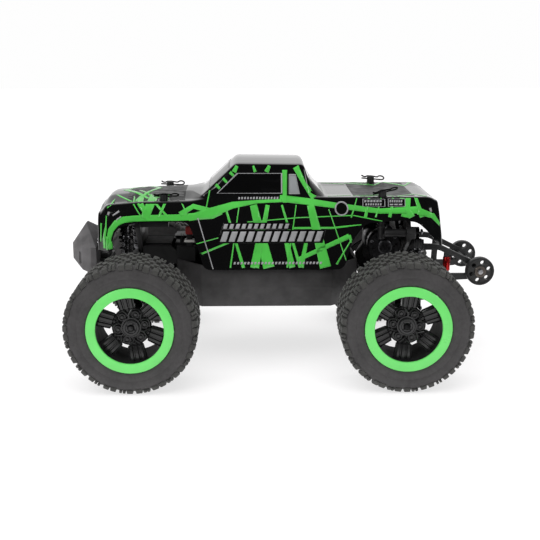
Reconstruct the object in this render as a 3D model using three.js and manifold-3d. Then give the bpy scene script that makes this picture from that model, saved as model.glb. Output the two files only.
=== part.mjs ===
// A 1/10 scale radio-controlled monster truck: rear motor, double-wishbone suspension, steered front wheels.
// Millimetres, +Z up, the ground at Z = 0. The nose points along -X, so the truck's left side is at -Y.
import * as THREE from "three";
import { mergeVertices } from "three/addons/utils/BufferGeometryUtils.js";
import Module from "manifold-3d";

const wasm = await Module();
wasm.setup();

// ---- Driving dimensions ----
const HALF_WHEELBASE = 128;
const WHEEL_RADIUS = 62.5;
const WHEEL_SEGMENTS = 24;
const TYRE_INNER_Y = 90;
const TYRE_OUTER_Y = 150;
const AXLE_Z = WHEEL_RADIUS;
const TYRE_MID_Y = (TYRE_INNER_Y + TYRE_OUTER_Y) / 2;

// Suspension: lower arm, upper arm, tie rod and driveshaft are all the same vector, so they swing as parallelograms.
const ARM_INNER_Y = 28;
const ARM_OUTER_Y = 80;
const ARM_DROP = 20;
const ARM_REACH = ARM_OUTER_Y - ARM_INNER_Y;
const ARM_SLOPE = -Math.atan2(ARM_DROP, ARM_REACH);
const ARM_LENGTH = Math.hypot(ARM_REACH, ARM_DROP);
const LOWER_PIVOT_Z = 72;
const UPPER_PIVOT_Z = 96;
const SHAFT_PIVOT_Z = AXLE_Z + ARM_DROP;
const PIN_R = 1.6;
const PIN_HOLE_R = 2.1;
const BARREL_R = 4;
const BARREL_HALF = 10;
const FORK_EAR = 3;

// Shock absorbers: distance of each from its axle along X, and the height of its top pivot.
const SHOCK_OFFSET = { front: 13, rear: 22 };
const SHOCK_TOP_Z = { front: 148, rear: 134 };
const SPRING_R = 6;
const PERCH_R = 7.3;
const SPRING_WIRE_R = 0.9;
const SHOCK_TOP_Y = 44;
const SHOCK_FOOT_Y = 66;
const SHOCK_FOOT_Z = 60.5;

const KINGPIN_Y = 90;
const STEERING_ARM = 20;
const TIE_ROD_OUTER_Y = 88;
const TIE_ROD_OUTER_Z = 69;
const TIE_ROD_INNER_Y = TIE_ROD_OUTER_Y - ARM_REACH;
const TIE_ROD_INNER_Z = TIE_ROD_OUTER_Z + ARM_DROP;
const HORN_PIVOT_Z = 107;

const FLOOR_Z = 60;
const TUB_TOP_Z = 104;
const SHELL_WALL = 1.8;
const FRONT_POST = { x: -103, y: 42, top: 174, clipZ: 170.8 };
const REAR_POST = { x: 114, y: 50, top: 178.4, clipZ: 175 };
const POST_R = 3.8;

const MOTOR = { x: 118, z: 120, r: 18 };
const GEAR_COVER = { x: 115, z: 99, r: 20, capR: 11, y0: 9, y1: 20 };

const BUMPER_FRONT_X = -201;
const WHEELIE = { axleX: 216, axleZ: 93, wheelR: 14.5, railY: 33, wheelY: 43 };

// ---- Materials ----
const colours = {
  rubber: ["#2b2a2a", 0.9, 0],
  rim: ["#161616", 0.45, 0],
  chassis: ["#2e2d2e", 0.7, 0],
  arms: ["#1b1b1c", 0.55, 0],
  metal: ["#b9babc", 0.3, 0.9],
  shell: ["#0b0b0b", 0.15, 0],
  bumper: ["#4a494b", 0.8, 0],
  motor: ["#303236", 0.4, 0.6],
  battery: ["#2c3f57", 0.5, 0],
  spring: ["#8c8d90", 0.35, 0.9],
};
const materials = Object.fromEntries(
  Object.entries(colours).map(([name, [color, roughness, metalness]]) => [
    name,
    new THREE.MeshStandardMaterial({ color, roughness, metalness }),
  ]),
);

// ---- Solids ----
function solid(geometry) {
  const bare = geometry.index ? geometry.toNonIndexed() : geometry.clone();
  bare.deleteAttribute("normal");
  bare.deleteAttribute("uv");
  const merged = mergeVertices(bare, 1e-4);
  return new wasm.Manifold(
    new wasm.Mesh({
      numProp: 3,
      vertProperties: new Float32Array(merged.attributes.position.array),
      triVerts: new Uint32Array(merged.index.array),
    }),
  );
}

function geometryOf(manifold) {
  const mesh = manifold.getMesh();
  const positions = new Float32Array(mesh.numVert * 3);
  for (let i = 0; i < mesh.numVert; i++)
    positions.set(mesh.vertProperties.subarray(i * mesh.numProp, i * mesh.numProp + 3), i * 3);
  const geometry = new THREE.BufferGeometry();
  geometry.setAttribute("position", new THREE.BufferAttribute(positions, 3));
  geometry.setIndex(new THREE.BufferAttribute(new Uint32Array(mesh.triVerts), 1));
  geometry.computeVertexNormals();
  return geometry;
}

const join = (...solids) => solids.reduce((a, b) => a.add(b));
const cut = (body, ...tools) => tools.reduce((a, b) => a.subtract(b), body);

// A box between two corners.
function box(x0, x1, y0, y1, z0, z1) {
  const g = new THREE.BoxGeometry(x1 - x0, y1 - y0, z1 - z0);
  g.translate((x0 + x1) / 2, (y0 + y1) / 2, (z0 + z1) / 2);
  return solid(g);
}

// A cylinder from point a to point b.
function rod(a, b, r, segments = r < 2.6 ? 6 : r < 6 ? 10 : 14, rEnd = r) {
  const from = new THREE.Vector3(...a);
  const to = new THREE.Vector3(...b);
  const g = new THREE.CylinderGeometry(rEnd, r, from.distanceTo(to), segments);
  const along = to.clone().sub(from).normalize();
  g.applyQuaternion(new THREE.Quaternion().setFromUnitVectors(new THREE.Vector3(0, 1, 0), along));
  g.translate(...from.add(to).multiplyScalar(0.5).toArray());
  return solid(g);
}

// An outline of [a, b] points extruded from c0 to c1; plane "xz" runs along Y, "yz" along X and "xy" along Z.
function prism(points, plane, c0, c1) {
  const shape = new THREE.Shape(points.map(([a, b]) => new THREE.Vector2(a, b)));
  const g = new THREE.ExtrudeGeometry(shape, { depth: c1 - c0, bevelEnabled: false });
  g.translate(0, 0, c0);
  if (plane === "xz") g.applyMatrix4(new THREE.Matrix4().set(1, 0, 0, 0, 0, 0, -1, c0 + c1, 0, 1, 0, 0, 0, 0, 0, 1));
  if (plane === "yz") g.applyMatrix4(new THREE.Matrix4().set(0, 0, 1, 0, 1, 0, 0, 0, 0, 1, 0, 0, 0, 0, 0, 1));
  return solid(g);
}

// A ring turned about the Y axis; the profile is a closed loop of [radius, y] points.
function turned(profile, segments = WHEEL_SEGMENTS, phase = 0) {
  const loop = [...profile, profile[0]].map(([r, y]) => new THREE.Vector2(r, y));
  const made = solid(new THREE.LatheGeometry(loop, segments, phase));
  return made.volume() > 0 ? made : solid(new THREE.LatheGeometry(loop.reverse(), segments, phase));
}

// A closed solid lofted through sections, each a ring of the same number of [x, y, z] points.
function loft(rings) {
  const n = rings[0].length;
  const triangles = [];
  const quad = (a, b, c, d) => triangles.push(a, b, c, a, c, d);
  for (let i = 0; i + 1 < rings.length; i++)
    for (let j = 0; j < n; j++) {
      const k = (j + 1) % n;
      quad(rings[i][j], rings[i][k], rings[i + 1][k], rings[i + 1][j]);
    }
  // The first ring's cap faces back along the loft and the last ring's cap faces forward.
  const flat = (ring) => ring.map(([, y, z]) => new THREE.Vector2(y, z));
  const first = rings[0];
  const last = rings[rings.length - 1];
  for (const [a, b, c] of THREE.ShapeUtils.triangulateShape(flat(first), []))
    triangles.push(first[a], first[c], first[b]);
  for (const [a, b, c] of THREE.ShapeUtils.triangulateShape(flat(last), []))
    triangles.push(last[a], last[b], last[c]);
  const g = new THREE.BufferGeometry();
  g.setAttribute("position", new THREE.Float32BufferAttribute(triangles.flat(), 3));
  const made = solid(g);
  if (made.volume() > 0) return made;
  g.setAttribute("position", new THREE.Float32BufferAttribute(triangles.reverse().flat(), 3));
  return solid(g);
}

// A half section, bottom edge first and centreline last, mirrored into a full ring at one x.
function ringAt(x, half) {
  const right = half.map(([y, z]) => [x, y, z]);
  const left = half.filter(([y]) => y > 0).map(([y, z]) => [x, -y, z]).reverse();
  return [...right, ...left];
}

const truck = new THREE.Group();
truck.position.x = -(BUMPER_FRONT_X + WHEELIE.axleX + WHEELIE.wheelR) / 2;

function add(name, material, shape, parent = truck) {
  const geometry = shape instanceof THREE.BufferGeometry ? shape : geometryOf(shape);
  const mesh = new THREE.Mesh(geometry, materials[material]);
  mesh.name = name;
  parent.add(mesh);
  return mesh;
}

// ---- Wheels: modelled about their own centre, with the outer face towards +Y ----
// The tyre's flats are at the wheel radius, and one of them stands on the ground.
function tyreShape() {
  const half = TYRE_MID_Y - TYRE_INNER_Y;
  const crown = WHEEL_RADIUS;
  const toCorner = 1 / Math.cos(Math.PI / WHEEL_SEGMENTS);
  const profile = [
    [41, half - 2], [50, half], [59, half - 2], [crown, half - 8],
    [crown, 8 - half], [59, 2 - half], [50, -half], [41, 2 - half],
    [41, 5 - half], [57, 6 - half], [57, half - 6], [41, half - 5],
  ];
  return turned(profile.map(([r, y]) => [r * toCorner, y]), WHEEL_SEGMENTS, Math.PI / WHEEL_SEGMENTS);
}

const RIM = { outerR: 40.4, face: 30.5, inner: -26.5, hubFace: 18, spokes: 6 };

function rimShape(boreR) {
  const barrel = turned([
    [31.5, RIM.face], [RIM.outerR, RIM.face], [RIM.outerR, 26], [36, 23],
    [36, -22], [RIM.outerR, RIM.inner], [33, -23], [33, 20],
  ]);
  const hub = rod([0, 2, 0], [0, RIM.hubFace, 0], 10, 12);
  const spoke = box(7, 34, 9, 17, -5, 5);
  const spokes = Array.from({ length: RIM.spokes }, (_, i) => spoke.rotate([0, (360 / RIM.spokes) * i, 0]));
  return cut(join(barrel, hub, ...spokes), rod([0, 0, 0], [0, 40, 0], boreR, 10));
}

const tyre = geometryOf(tyreShape());
const frontRim = geometryOf(rimShape(2.9));
const rearRim = geometryOf(rimShape(2.8));

// ---- Suspension corner: u runs from the axle away from the truck's middle, y outwards ----
// A bar in the (y, z) plane that follows the arm's slope, from y0 to y1, centred above the line through a pivot.
function slopedBar(u0, u1, pivotZ, y0, y1, thickness) {
  const at = (y) => pivotZ + (y - ARM_INNER_Y) * Math.tan(ARM_SLOPE);
  const h = thickness / 2;
  return prism([[y0, at(y0) - h], [y1, at(y1) - h], [y1, at(y1) + h], [y0, at(y0) + h]], "yz", u0, u1);
}

function armShape(pivotZ, thickness, plateHalf) {
  const outerZ = pivotZ - ARM_DROP;
  const barrel = rod([-BARREL_HALF, ARM_INNER_Y, pivotZ], [BARREL_HALF, ARM_INNER_Y, pivotZ], BARREL_R);
  const plate = join(
    slopedBar(-plateHalf, plateHalf, pivotZ, ARM_INNER_Y + 2, ARM_OUTER_Y - 8, thickness),
    slopedBar(-9, 9, pivotZ, ARM_OUTER_Y - 12, ARM_OUTER_Y - 8, thickness),
  );
  const window = slopedBar(3.5 - plateHalf, plateHalf - 3.5, pivotZ, ARM_INNER_Y + 9, ARM_OUTER_Y - 30, thickness + 2);
  const ear = (u0) => join(
    slopedBar(u0, u0 + FORK_EAR, pivotZ, ARM_OUTER_Y - 10, ARM_OUTER_Y, thickness),
    rod([u0, ARM_OUTER_Y, outerZ], [u0 + FORK_EAR, ARM_OUTER_Y, outerZ], BARREL_R - 0.3),
  );
  const pin = rod([-8, ARM_OUTER_Y, outerZ], [8, ARM_OUTER_Y, outerZ], PIN_R);
  const bore = rod([-20, ARM_INNER_Y, pivotZ], [20, ARM_INNER_Y, pivotZ], PIN_HOLE_R);
  return join(cut(join(barrel, cut(plate, window)), bore), ear(6), ear(-9), pin);
}

function lowerArmShape(shockOffset) {
  const stub = rod([5, SHOCK_FOOT_Y, SHOCK_FOOT_Z], [shockOffset + 4, SHOCK_FOOT_Y, SHOCK_FOOT_Z], PIN_R);
  const boss = rod([5, SHOCK_FOOT_Y, SHOCK_FOOT_Z], [shockOffset - 3.2, SHOCK_FOOT_Y, SHOCK_FOOT_Z], 3);
  return join(armShape(LOWER_PIVOT_Z, 6, 10), boss, stub);
}

// The upright's two arm bosses and the web between them; both uprights start from this.
function uprightWeb() {
  const half = 5.2;
  const lowerZ = LOWER_PIVOT_Z - ARM_DROP;
  const upperZ = UPPER_PIVOT_Z - ARM_DROP;
  const boss = (z) => rod([-half, ARM_OUTER_Y, z], [half, ARM_OUTER_Y, z], 3.7);
  return join(box(-half, half, ARM_OUTER_Y - 1.5, ARM_OUTER_Y + 1.5, lowerZ, upperZ), boss(lowerZ), boss(upperZ));
}

function drillUpright(shape) {
  const holes = [LOWER_PIVOT_Z, UPPER_PIVOT_Z].map((z) =>
    rod([-20, ARM_OUTER_Y, z - ARM_DROP], [20, ARM_OUTER_Y, z - ARM_DROP], PIN_HOLE_R),
  );
  return cut(shape, ...holes);
}

function casterBlockShape() {
  const plates = [[49, 53], [75, 79]].map(([z0, z1]) => box(-5.2, 5.2, ARM_OUTER_Y, KINGPIN_Y + 5, z0, z1));
  const kingpins = join(
    rod([0, KINGPIN_Y, 52], [0, KINGPIN_Y, 58], 1.5),
    rod([0, KINGPIN_Y, 70], [0, KINGPIN_Y, 76], 1.5),
  );
  return join(drillUpright(join(uprightWeb(), ...plates)), kingpins);
}

function knuckleShape() {
  const block = box(-6.5, 6.5, KINGPIN_Y - 4.5, KINGPIN_Y + 7, 54, 74);
  const stubAxle = rod([0, KINGPIN_Y + 5, AXLE_Z], [0, TYRE_MID_Y + 21, AXLE_Z], 2.4);
  const shoulder = rod([0, KINGPIN_Y + 5, AXLE_Z], [0, TYRE_MID_Y + 1, AXLE_Z], 4.5);
  const arm = box(-STEERING_ARM - 4, -5, TIE_ROD_OUTER_Y - 2.5, TIE_ROD_OUTER_Y + 3, 60, 66);
  const kingpinHole = rod([0, KINGPIN_Y, 40], [0, KINGPIN_Y, 90], 2);
  return join(cut(join(block, arm), kingpinHole), shoulder, stubAxle);
}

function hubCarrierShape() {
  const housing = rod([0, ARM_OUTER_Y + 2, AXLE_Z], [0, TYRE_MID_Y - 18, AXLE_Z], 9.4, 14);
  const toe = box(-4.6, 4.6, ARM_OUTER_Y, ARM_OUTER_Y + 8, 53.3, 74.7);
  const bore = rod([0, 60, AXLE_Z], [0, 110, AXLE_Z], 5.2, 12);
  return cut(drillUpright(join(uprightWeb(), housing, toe)), bore);
}

// The rear axle: a drive cup inside, the shaft through the hub carrier, the hex and the threaded end outside.
function rearAxleShape() {
  const cup = rod([0, ARM_OUTER_Y - 1.4, AXLE_Z], [0, 93, AXLE_Z], 4.6, 12);
  const pocket = rod([0, 70, AXLE_Z], [0, ARM_OUTER_Y + 5, AXLE_Z], 3.6, 12);
  const shaft = rod([0, 92, AXLE_Z], [0, TYRE_MID_Y + 21, AXLE_Z], 2.4);
  const hex = rod([0, 102.5, AXLE_Z], [0, TYRE_MID_Y + 1.7, AXLE_Z], 6.5, 6);
  return join(cut(cup, pocket), shaft, hex);
}

// The driveshaft is a straight bar with a ball at each joint centre.
function driveshaftShape() {
  const inner = [0, ARM_INNER_Y, SHAFT_PIVOT_Z];
  const outer = [0, ARM_OUTER_Y, AXLE_Z];
  const ball = (centre, r) => {
    const g = new THREE.IcosahedronGeometry(r, 1);
    g.translate(...centre);
    return solid(g);
  };
  return join(rod(inner, outer, 1.7), ball(inner, 3), ball(outer, 2.9));
}

// A shock absorber as two pieces along its own axis.
function shockAxis(end) {
  const foot = new THREE.Vector3(SHOCK_OFFSET[end], SHOCK_FOOT_Y, SHOCK_FOOT_Z);
  const top = new THREE.Vector3(SHOCK_OFFSET[end], SHOCK_TOP_Y, SHOCK_TOP_Z[end]);
  const length = top.distanceTo(foot);
  const along = (d) => top.clone().lerp(foot, d / length).toArray();
  return { along, length };
}

const EYE = { r: 5, half: 2.6 };

function eye([u, y, z], holeR) {
  const ring = rod([u - EYE.half, y, z], [u + EYE.half, y, z], EYE.r);
  return { ring, hole: rod([u - 10, y, z], [u + 10, y, z], holeR, 10) };
}

function shockBodyShape(end) {
  const { along, length } = shockAxis(end);
  const top = eye(along(0), PIN_HOLE_R);
  const reach = length - 38;
  const neck = rod(along(2), along(8), 2.6);
  const cap = rod(along(7), along(13), 5.6, 10);
  const cylinder = rod(along(10), along(reach), 4.4, 10);
  const collar = rod(along(17), along(20), PERCH_R, 12);
  const bore = rod(along(13), along(reach + 5), 2.3, 8);
  return cut(join(top.ring, neck, cap, cylinder, collar), bore, top.hole);
}

function shockRodShape(end) {
  const { along, length } = shockAxis(end);
  const foot = eye(along(length), 3);
  const shaft = rod(along(length - 52), along(length - 4), 1.6);
  const perch = rod(along(length - 11), along(length - 8), PERCH_R, 12);
  const socket = rod(along(length - 9), along(length - 4), 3.2);
  return cut(join(foot.ring, socket, shaft, perch), foot.hole);
}

// The coil spring between the collar on the cylinder and the perch on the rod.
function springShape(end) {
  const { along, length } = shockAxis(end);
  const from = new THREE.Vector3(...along(21.2));
  const to = new THREE.Vector3(...along(length - 12.2));
  const down = to.clone().sub(from);
  const across = new THREE.Vector3(1, 0, 0);
  const third = down.clone().normalize().cross(across);
  const turns = 5;
  const points = [];
  for (let i = 0; i <= turns * 8; i++) {
    const a = (i / 8) * 2 * Math.PI;
    const around = across.clone().multiplyScalar(SPRING_R * Math.cos(a)).addScaledVector(third, SPRING_R * Math.sin(a));
    points.push(from.clone().addScaledVector(down, i / (turns * 8)).add(around));
  }
  const wire = new THREE.Shape();
  for (let i = 0; i < 5; i++) {
    const a = (2 * Math.PI * i) / 5;
    if (i === 0) wire.moveTo(SPRING_WIRE_R, 0);
    else wire.lineTo(SPRING_WIRE_R * Math.cos(a), SPRING_WIRE_R * Math.sin(a));
  }
  return solid(new THREE.ExtrudeGeometry(wire, {
    steps: turns * 8, bevelEnabled: false, extrudePath: new THREE.CatmullRomCurve3(points),
  }));
}

function tieRodShape() {
  const inner = [-STEERING_ARM, TIE_ROD_INNER_Y, TIE_ROD_INNER_Z];
  const outer = [-STEERING_ARM, TIE_ROD_OUTER_Y, TIE_ROD_OUTER_Z];
  const cupOut = rod([outer[0], outer[1], outer[2] - 1.1], [outer[0], outer[1], outer[2] + 2.5], 4);
  const cupIn = rod([inner[0] - 2, inner[1], inner[2]], [inner[0] + 2, inner[1], inner[2]], 4);
  const hole = rod([inner[0] - 5, inner[1], inner[2]], [inner[0] + 5, inner[1], inner[2]], PIN_HOLE_R);
  return cut(join(rod(inner, outer, 1.9, 8), cupOut, cupIn), hole);
}

const armShapes = {
  front: { lower: geometryOf(lowerArmShape(SHOCK_OFFSET.front)) },
  rear: { lower: geometryOf(lowerArmShape(SHOCK_OFFSET.rear)) },
};
const upperArm = geometryOf(armShape(UPPER_PIVOT_Z, 4.5, 5));
const frontPieces = [
  ["caster_block", "arms", geometryOf(casterBlockShape())],
  ["steering_knuckle", "arms", geometryOf(knuckleShape())],
  ["tie_rod", "arms", geometryOf(tieRodShape())],
];
const rearPieces = [
  ["hub_carrier", "arms", geometryOf(hubCarrierShape())],
  ["axle", "metal", geometryOf(rearAxleShape())],
  ["driveshaft", "metal", geometryOf(driveshaftShape())],
];
const shocks = Object.fromEntries(
  ["front", "rear"].map((end) => [
    end,
    {
      body: geometryOf(shockBodyShape(end)),
      rod: geometryOf(shockRodShape(end)),
      spring: geometryOf(springShape(end)),
    },
  ]),
);
// Turn of each wheel's spokes at rest, in degrees.
const SPOKE_TURN = { front_left: 19, front_right: 40, rear_left: 24, rear_right: 5 };

function buildCorner(end, side) {
  const corner = new THREE.Group();
  const e = end === "front" ? -1 : 1;
  const s = side === "left" ? -1 : 1;
  corner.position.x = e * HALF_WHEELBASE;
  corner.scale.set(e, s, 1);
  truck.add(corner);
  const label = `${end}_${side}`;
  add(`${label}_lower_arm`, "arms", armShapes[end].lower, corner);
  add(`${label}_upper_arm`, "arms", upperArm, corner);
  add(`${label}_shock_body`, "metal", shocks[end].body, corner);
  add(`${label}_shock_rod`, "metal", shocks[end].rod, corner);
  add(`${label}_spring`, "spring", shocks[end].spring, corner);
  for (const [piece, material, geometry] of end === "front" ? frontPieces : rearPieces)
    add(`${label}_${piece}`, material, geometry, corner);
  for (const [piece, material, geometry] of [
    ["tyre", "rubber", tyre],
    ["rim", "rim", end === "front" ? frontRim : rearRim],
  ]) {
    const mesh = add(`${label}_${piece}`, material, geometry, corner);
    mesh.position.set(0, TYRE_MID_Y, AXLE_Z);
    if (piece === "rim") mesh.rotation.y = -THREE.MathUtils.degToRad(SPOKE_TURN[label]);
  }
}

for (const end of ["front", "rear"]) for (const side of ["left", "right"]) buildCorner(end, side);

// ---- Bulkheads that carry the arms ----
// Two pairs of ears and the hinge pins between them, about x = 0.
function pivotFrame() {
  const ears = [11, -15].flatMap((u) => [box(u, u + 4, -32, 32, FLOOR_Z + 6, UPPER_PIVOT_Z + 5)]);
  const pins = [-1, 1].flatMap((s) =>
    [LOWER_PIVOT_Z, UPPER_PIVOT_Z].map((z) => rod([-13, s * ARM_INNER_Y, z], [13, s * ARM_INNER_Y, z], PIN_R)),
  );
  return join(...ears, ...pins);
}

const BLOCK_TOP_Z = 104;
const frontBulkhead = join(
  pivotFrame(),
  box(-12, 12, -23, 23, FLOOR_Z + 3.3, BLOCK_TOP_Z),
  box(-33, -14, -9, 9, 84, 94),
).translate([-HALF_WHEELBASE, 0, 0]);
add("front_bulkhead", "chassis", frontBulkhead);

const outdrives = [-1, 1].map((s) =>
  cut(
    rod([0, s * 20, SHAFT_PIVOT_Z], [0, s * 30, SHAFT_PIVOT_Z], 5.5, 12),
    rod([0, s * 23.5, SHAFT_PIVOT_Z], [0, s * 34, SHAFT_PIVOT_Z], 4.4, 12),
  ),
);
const pockets = [-1, 1].map((s) => rod([0, s * 23.5, SHAFT_PIVOT_Z], [0, s * 34, SHAFT_PIVOT_Z], 4.4, 12));
// The gear case: a wide round over the gear on the axle side, running up to a small one over the motor's shaft.
function gearCase() {
  const arc = (centreX, centreZ, r, from, to, steps) =>
    Array.from({ length: steps + 1 }, (_, i) => {
      const a = from + ((to - from) * i) / steps;
      return [centreX + r * Math.cos(a), centreZ + r * Math.sin(a)];
    });
  const { x, z, r, capR, y0, y1 } = GEAR_COVER;
  return join(
    prism([...arc(x, z, r, Math.PI, 2 * Math.PI, 10), ...arc(MOTOR.x, MOTOR.z, capR, 0, Math.PI, 8)], "xz", y0, y1),
    rod([MOTOR.x, y1 - 1, MOTOR.z], [MOTOR.x, y1 + 2, MOTOR.z], 5),
    rod([x, y1 - 1, z], [x, y1 + 2, z], 9),
  );
}

const rearGearbox = join(
  join(
    cut(join(pivotFrame(), box(-12, 12, -22, 22, FLOOR_Z + 3.3, 101)), ...pockets),
    ...outdrives,
  ).translate([HALF_WHEELBASE, 0, 0]),
  box(102, 130, 6.5, 12, 96, 139),
  gearCase(),
);
add("rear_gearbox", "chassis", rearGearbox);

const motorCan = rod([MOTOR.x, -46, MOTOR.z], [MOTOR.x, 6.2, MOTOR.z], MOTOR.r, 20);
const motorBell = rod([MOTOR.x, -51, MOTOR.z], [MOTOR.x, -46, MOTOR.z], 7, 12);
add("motor", "motor", join(motorCan, motorBell));

// ---- Chassis tub: an open tray, widest at a crease half way up its sides ----
function tubRing(x, inset, scale) {
  const floor = FLOOR_Z + (inset ? 3 : 0);
  const top = TUB_TOP_Z + (inset ? 5 : 0);
  return ringAt(x, [[54, floor], [64, 82], [60, top]].map(([y, z]) => [(y - inset) * scale, z]));
}
const tubOuter = loft([tubRing(-92, 0, 0.52), tubRing(-66, 0, 1), tubRing(64, 0, 1), tubRing(92, 0, 0.52)]);
const tubInner = loft([
  tubRing(-89, 2.5, 0.52), tubRing(-64.5, 2.5, 1), tubRing(62.5, 2.5, 1), tubRing(89, 2.5, 0.52),
]);
const tongue = (x0, x1) => box(x0, x1, -27, 27, FLOOR_Z, FLOOR_Z + 3);
const servoNotch = box(-95, -85, -13, 13, FLOOR_Z + 5, 120);
add("chassis_tub", "chassis", join(cut(tubOuter, tubInner, servoNotch), tongue(-146, -88), tongue(88, 146)));

// ---- Shock towers ----
function shockPins(end, x0, outward) {
  const tip = outward * (HALF_WHEELBASE + SHOCK_OFFSET[end] + 4.5);
  const shoulder = outward * (HALF_WHEELBASE + SHOCK_OFFSET[end] - 3.4);
  return [-1, 1].flatMap((s) => [
    rod([x0, s * SHOCK_TOP_Y, SHOCK_TOP_Z[end]], [tip, s * SHOCK_TOP_Y, SHOCK_TOP_Z[end]], PIN_R),
    rod([x0, s * SHOCK_TOP_Y, SHOCK_TOP_Z[end]], [shoulder, s * SHOCK_TOP_Y, SHOCK_TOP_Z[end]], 4),
  ]);
}

// A round body post with a domed top and a hole along X for its clip.
function bodyPost(post, side, z0) {
  const profile = [[0, z0], [POST_R, z0], [POST_R, post.top - 2.5], [POST_R * 0.7, post.top - 0.7], [0, post.top]];
  const g = new THREE.LatheGeometry(profile.map(([r, z]) => new THREE.Vector2(r, z)), 12);
  g.rotateX(Math.PI / 2);
  g.translate(post.x, side * post.y, 0);
  return cut(solid(g), rod([post.x - 8, side * post.y, post.clipZ], [post.x + 8, side * post.y, post.clipZ], 1.2, 8));
}

const frontPlate = [
  [-20, 104.3], [20, 104.3], [30, 122], [50, 140], [50, 152], [38, 154], [20, 134], [-20, 134], [-38, 154], [-50, 152],
  [-50, 140], [-30, 122],
];
const frontTower = join(
  prism(frontPlate, "yz", -132, -127),
  ...shockPins("front", -130, -1),
  ...[-1, 1].flatMap((s) => [
    box(-128, FRONT_POST.x + 4, s * FRONT_POST.y - 4, s * FRONT_POST.y + 4, 140, 145),
    bodyPost(FRONT_POST, s, 141),
  ]),
);
add("front_shock_tower", "arms", frontTower);

const REAR_TOWER_X = 138.4;
const rearPlate = [
  [-20, 101.4], [20, 101.4], [32, 112], [48, 122], [61, 127], [61, 137], [50, 156], [-50, 156], [-61, 137], [-61, 127],
  [-48, 122], [-32, 112],
];
const rearTower = join(
  cut(prism(rearPlate, "yz", REAR_TOWER_X, REAR_TOWER_X + 4), prism([[-22, 126], [22, 126], [34, 147], [-34, 147]],
    "yz", REAR_TOWER_X - 2, REAR_TOWER_X + 6)),
  ...shockPins("rear", REAR_TOWER_X + 2, 1),
  ...[-1, 1].flatMap((s) => [
    box(REAR_POST.x - 5, REAR_TOWER_X + 4, s * 46 - 7, s * 46 + 8, 151, 156),
    box(REAR_POST.x - 4, REAR_POST.x + 5, s * 53 - 6, s * 53 + 6, 128, 152),
    rod([REAR_POST.x, s * 57, 132], [REAR_TOWER_X + 1, s * 57, 132], 4.4, 12),
    bodyPost(REAR_POST, s, 152),
  ]),
);
add("rear_shock_tower", "arms", rearTower);

// ---- Steering: servo, horn and the link between the tie rods ----
const LINK_X = -HALF_WHEELBASE + STEERING_ARM;
const servo = join(
  box(-95, -58, -10, 10, 77, 117),
  box(-90, -87, -10, 10, 70, 124),
  rod([-95.5, 0, HORN_PIVOT_Z], [-98.7, 0, HORN_PIVOT_Z], 3),
  rod([-95.5, 0, HORN_PIVOT_Z], [-94, 0, HORN_PIVOT_Z], 5),
  box(-83, -64, -8, 8, FLOOR_Z + 3.3, 78),
);
add("steering_servo", "arms", servo);

// The horn's pin works in an upright slot in the link, so the link slides straight as the horn swings.
const horn = join(
  rod([-99, 0, HORN_PIVOT_Z], [-102, 0, HORN_PIVOT_Z], 5),
  box(-102, -99, -3, 3, TIE_ROD_INNER_Z - 3, HORN_PIVOT_Z),
  rod([-101, 0, TIE_ROD_INNER_Z], [-105.6, 0, TIE_ROD_INNER_Z], PIN_R),
);
add("servo_horn", "arms", horn);

const linkPlate = prism(
  [[-40, 85.5], [40, 85.5], [40, 92.5], [12, 96], [-12, 96], [-40, 92.5]], "yz", LINK_X + 2.6, LINK_X + 5.6,
);
const linkPin = (s) => rod([LINK_X - 3, s * TIE_ROD_INNER_Y, TIE_ROD_INNER_Z],
  [LINK_X + 4, s * TIE_ROD_INNER_Y, TIE_ROD_INNER_Z], PIN_R);
add(
  "centre_link",
  "arms",
  join(cut(linkPlate, box(LINK_X, LINK_X + 8, -2.2, 2.2, 86.8, 94)), linkPin(-1), linkPin(1)),
);

// ---- Battery and electronics in the tub ----
const packEnd = (x0, x1) => box(x0, x1, -50, -6, FLOOR_Z + 3.4, FLOOR_Z + 29);
add("battery_pack", "battery", join(packEnd(-52, 40), box(40, 52, -40, -16, FLOOR_Z + 8, FLOOR_Z + 24)));
const fins = Array.from({ length: 6 }, (_, i) => box(-20 + i * 6, -17 + i * 6, 14, 42, FLOOR_Z + 24, FLOOR_Z + 32));
add("speed_controller", "arms", join(box(-30, 28, 8, 46, FLOOR_Z + 3.4, FLOOR_Z + 25), ...fins));

// ---- Front bumper: a faceted bull bar on a bracket ----
const bumperSide = [
  [-173, 97], [-184, 89], [-201, 103.5], [-201, 117.5], [-190, 132], [-180.5, 146.5], [-176.5, 146.5], [-171.5, 137],
];
const bumperPlan = [
  [-171, -47], [-177, -47], [-187, -39], [-198.5, -24], [BUMPER_FRONT_X, -10], [BUMPER_FRONT_X, 10], [-198.5, 24],
  [-187, 39], [-177, 47], [-171, 47],
];
const bumperWindows = [-1, 1].map((s) => box(-220, -170, s * 21 - 9, s * 21 + 9, 110, 122));
const bumperNotch = prism([[-16, 125], [16, 125], [24, 160], [-24, 160]], "yz", -220, -170);
const bumper = join(
  cut(
    prism(bumperSide, "xz", -60, 60).intersect(prism(bumperPlan, "xy", 60, 170)),
    ...bumperWindows,
    bumperNotch,
  ),
  box(-180, -161.4, -9, 9, 85, 93.5),
);
add("front_bumper", "bumper", bumper);

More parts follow.
